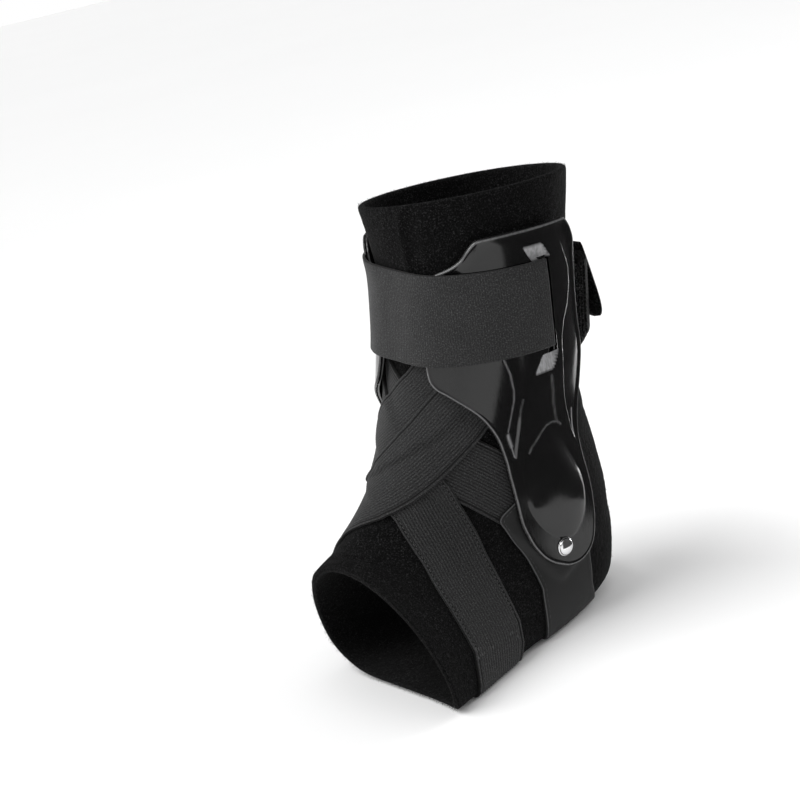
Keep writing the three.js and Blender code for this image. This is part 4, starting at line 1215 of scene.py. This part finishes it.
def fibres(name, roots, out_ways, lengths, width=0.045):
    count = len(roots)
    sides = unit(np.cross(out_ways, dice.normal(size=(count, 3))))
    curl = unit(dice.normal(size=(count, 3)))
    points, faces = [], []
    for k in range(count):
        base = len(points)
        third = np.cross(out_ways[k], sides[k])
        for s, w in ((0.0, 1.0), (0.55, 0.8)):
            mid = roots[k] + out_ways[k] * lengths[k] * s + curl[k] * lengths[k] * 0.35 * s * s
            for a in (0, 2.094, 4.189):
                points.append(mid + (sides[k] * math.cos(a) + third * math.sin(a)) * width * w)
        points.append(roots[k] + out_ways[k] * lengths[k] + curl[k] * lengths[k] * 0.35)
        for a in range(3):
            b = (a + 1) % 3
            faces.append([base + a, base + b, base + 3 + b, base + 3 + a])
            faces.append([base + 3 + a, base + 3 + b, base + 6])
        faces.append([base + 2, base + 1, base])
    return dress(mesh_from(name, np.array(points), faces), fibre, slot="fleece")


def fringe():
    roots, ways, lengths = [], [], []

    def scatter(up, turn, outs, extra, count, longest):
        n = normals(up, turn, 0.0)
        p = skin(up, turn, outs)
        roots.append(p)
        ways.append(unit(n + extra + dice.normal(scale=0.45, size=p.shape)))
        lengths.append(dice.uniform(0.35, 1.0, count) ** 1.5 * longest)

    for edge, inward, lean, longest in CUT_EDGES:
        turn = dice.uniform(0, 360, EDGE_FIBRES)
        up = edge + inward * dice.uniform(0, 0.03, EDGE_FIBRES)
        ahead = unit(skin(up, turn, 0) - skin(up + 0.1 * inward, turn, 0))
        scatter(up, turn, dice.uniform(-2.8, -0.1, EDGE_FIBRES), ahead * lean, EDGE_FIBRES, longest)
    i, j = np.nonzero(heel_rim)
    pick = dice.integers(0, len(i), HEEL_FIBRES)
    # These two draws place nothing, and keep the ones after them as they are
    dice.normal(size=2 * HEEL_FIBRES)
    p = sleeve_top[i[pick], j[pick]] + dice.normal(scale=0.5, size=(HEEL_FIBRES, 3))
    toward = unit(np.array([0, 60.0, HEEL_RISE]) - p)
    roots.append(p)
    ways.append(unit(toward + dice.normal(scale=0.5, size=p.shape)))
    lengths.append(dice.uniform(0.3, 1.0, HEEL_FIBRES) ** 1.5 * 2.2)
    up, turn = dice.uniform(0.02, LAST - 0.02, FACE_FIBRES), dice.uniform(0, 360, FACE_FIBRES)
    keep = sample(shelled, up, turn) < 0.2
    x, y, z = skin(up, turn, -1.0).T
    clear = np.hypot(x / (HEEL_WIDTH / 2 + 2), (z - HEEL_RISE) / (HEEL_HEIGHT / 2 + 2)) < 1
    keep &= ~((y > 0) & clear)
    up, turn = up[keep], turn[keep]
    ahead = unit(skin(up + 0.05, turn, 0) - skin(up - 0.05, turn, 0))
    scatter(up, turn, np.full(len(up), -0.15), ahead * 0.5, len(up), 0.9)
    return np.concatenate(roots), np.concatenate(ways), np.concatenate(lengths)


fibres("edge_fibres", *fringe())


# Floor, camera and light, in metres from here on
FLOOR_HALF = 6.0
AIM = (0, -0.02, 0.1)
CAMERA = {"azimuth": 53.0, "elevation": 18.2, "roll": 11.6, "target": (0, -0.035, 0.100),
          "distance": 0.850, "focal": 1817.3, "across": -33.0, "upward": 46.9}
PICTURE, SENSOR = 800.0, 36.0
CARD_RADIUS, CARD_HEIGHT, CARD_BACK, CARD_TURNS = 0.150, 0.560, 0.010, (79, 164)


def floor():
    size = FLOOR_HALF / MM
    ob = mesh_from("floor", [[-size, -size, 0], [size, -size, 0], [size, size, 0], [-size, size, 0]],
                   [[0, 1, 2, 3]])
    n = Nodes("pale_floor")
    soft = n.noise(n.place(), 3.0, 2.0)
    n.set(Base_Color=n.mix(soft, (0.93, 0.93, 0.93, 1), (0.95, 0.95, 0.95, 1)), Roughness=0.6,
          Specular_IOR_Level=0.2)
    ob.data.materials.append(n.material)


def placed(name, data, right, up, back, place):
    """A camera or light at a place, looking away from back."""
    ob = bpy.data.objects.new(name, data)
    bpy.context.scene.collection.objects.link(ob)
    ob.matrix_world = Matrix([[right[k], up[k], back[k], place[k]] for k in range(3)]
                             + [[0, 0, 0, 1]])
    return ob


def camera():
    azimuth, elevation, roll = (math.radians(CAMERA[k]) for k in ("azimuth", "elevation", "roll"))
    back = np.array([math.sin(azimuth) * math.cos(elevation),
                     -math.cos(azimuth) * math.cos(elevation), math.sin(elevation)])
    level = np.array([math.cos(azimuth), math.sin(azimuth), 0])
    upright = np.cross(back, level)
    data = bpy.data.cameras.new("camera")
    data.sensor_width, data.sensor_fit = SENSOR, "HORIZONTAL"
    data.lens = CAMERA["focal"] * SENSOR / PICTURE
    data.shift_x, data.shift_y = CAMERA["across"] / PICTURE, CAMERA["upward"] / PICTURE
    data.clip_start, data.clip_end = 0.01, 50
    bpy.context.scene.camera = placed(
        "camera", data, level * math.cos(roll) - upright * math.sin(roll),
        level * math.sin(roll) + upright * math.cos(roll), back,
        np.array(CAMERA["target"]) + back * CAMERA["distance"])


def dark_card():
    """A dark card on the right that only glossy rays see (hidden from the camera, from diffuse light and
    from shadows): a painted dark reflection for the gloss to mirror.
    """
    turns = np.radians(np.linspace(*CARD_TURNS, 36))
    points = [[CARD_RADIUS / MM * math.sin(t), -(CARD_RADIUS * math.cos(t) + CARD_BACK) / MM, z]
              for z in (0.0, CARD_HEIGHT / MM) for t in turns]
    count = len(turns)
    faces = [[k, k + 1, count + k + 1, count + k] for k in range(count - 1)]
    ob = mesh_from("dark_card", points, faces)
    n = Nodes("dark_card")
    ob.data.materials.append(n.set(Base_Color=(0.08, 0.08, 0.08, 1), Roughness=1.0,
                                   Specular_IOR_Level=0.0))
    ob.visible_camera = ob.visible_diffuse = ob.visible_shadow = False


def area_light(name, place, target, size, power, size_y=None):
    data = bpy.data.lights.new(name, "AREA")
    data.energy = power
    data.size = size
    if size_y:
        data.shape = "RECTANGLE"
        data.size_y = size_y
    back = unit(np.array(place) - np.array(target))
    right = unit(np.cross([0, 0, 1.0], back))
    return placed(name, data, right, np.cross(back, right), back, place)


def window():
    sun = bpy.data.lights.new("window", "SUN")
    sun.energy, sun.angle = 2.45, math.radians(48)
    sun = bpy.data.objects.new("window", sun)
    bpy.context.scene.collection.objects.link(sun)
    sun.rotation_euler = (math.radians(38), 0, math.radians(-22))


def surround():
    """A pale studio, brightest at the horizon."""
    world = bpy.data.worlds.new("studio")
    world.use_nodes = True
    tree = world.node_tree
    sky = tree.nodes["Background"]
    way = tree.nodes.new("ShaderNodeTexCoord")
    split = tree.nodes.new("ShaderNodeSeparateXYZ")
    fall = tree.nodes.new("ShaderNodeMapRange")
    tree.links.new(way.outputs["Generated"], split.inputs[0])
    tree.links.new(split.outputs["Z"], fall.inputs["Value"])
    tree.links.new(fall.outputs["Result"], sky.inputs["Strength"])
    for key, value in (("From Min", 0.12), ("From Max", 0.45), ("To Min", 1.0), ("To Max", 0.36)):
        fall.inputs[key].default_value = value
    sky.inputs["Color"].default_value = (1, 1, 1, 1)
    bpy.context.scene.world = world


floor()
camera()
dark_card()
area_light("top", (0.2, 0.1, 1.9), AIM, 1.2, 5)
area_light("rim", (0.5, 1.5, 1.0), AIM, 0.5, 5, 1.4).visible_glossy = False
window()
area_light("strip", (0.0, 0.36, 0.06), (0.04, 0, 0.1), 0.13, 0.32, 0.12).visible_camera = False
surround()
bpy.context.scene.view_settings.view_transform = "Standard"
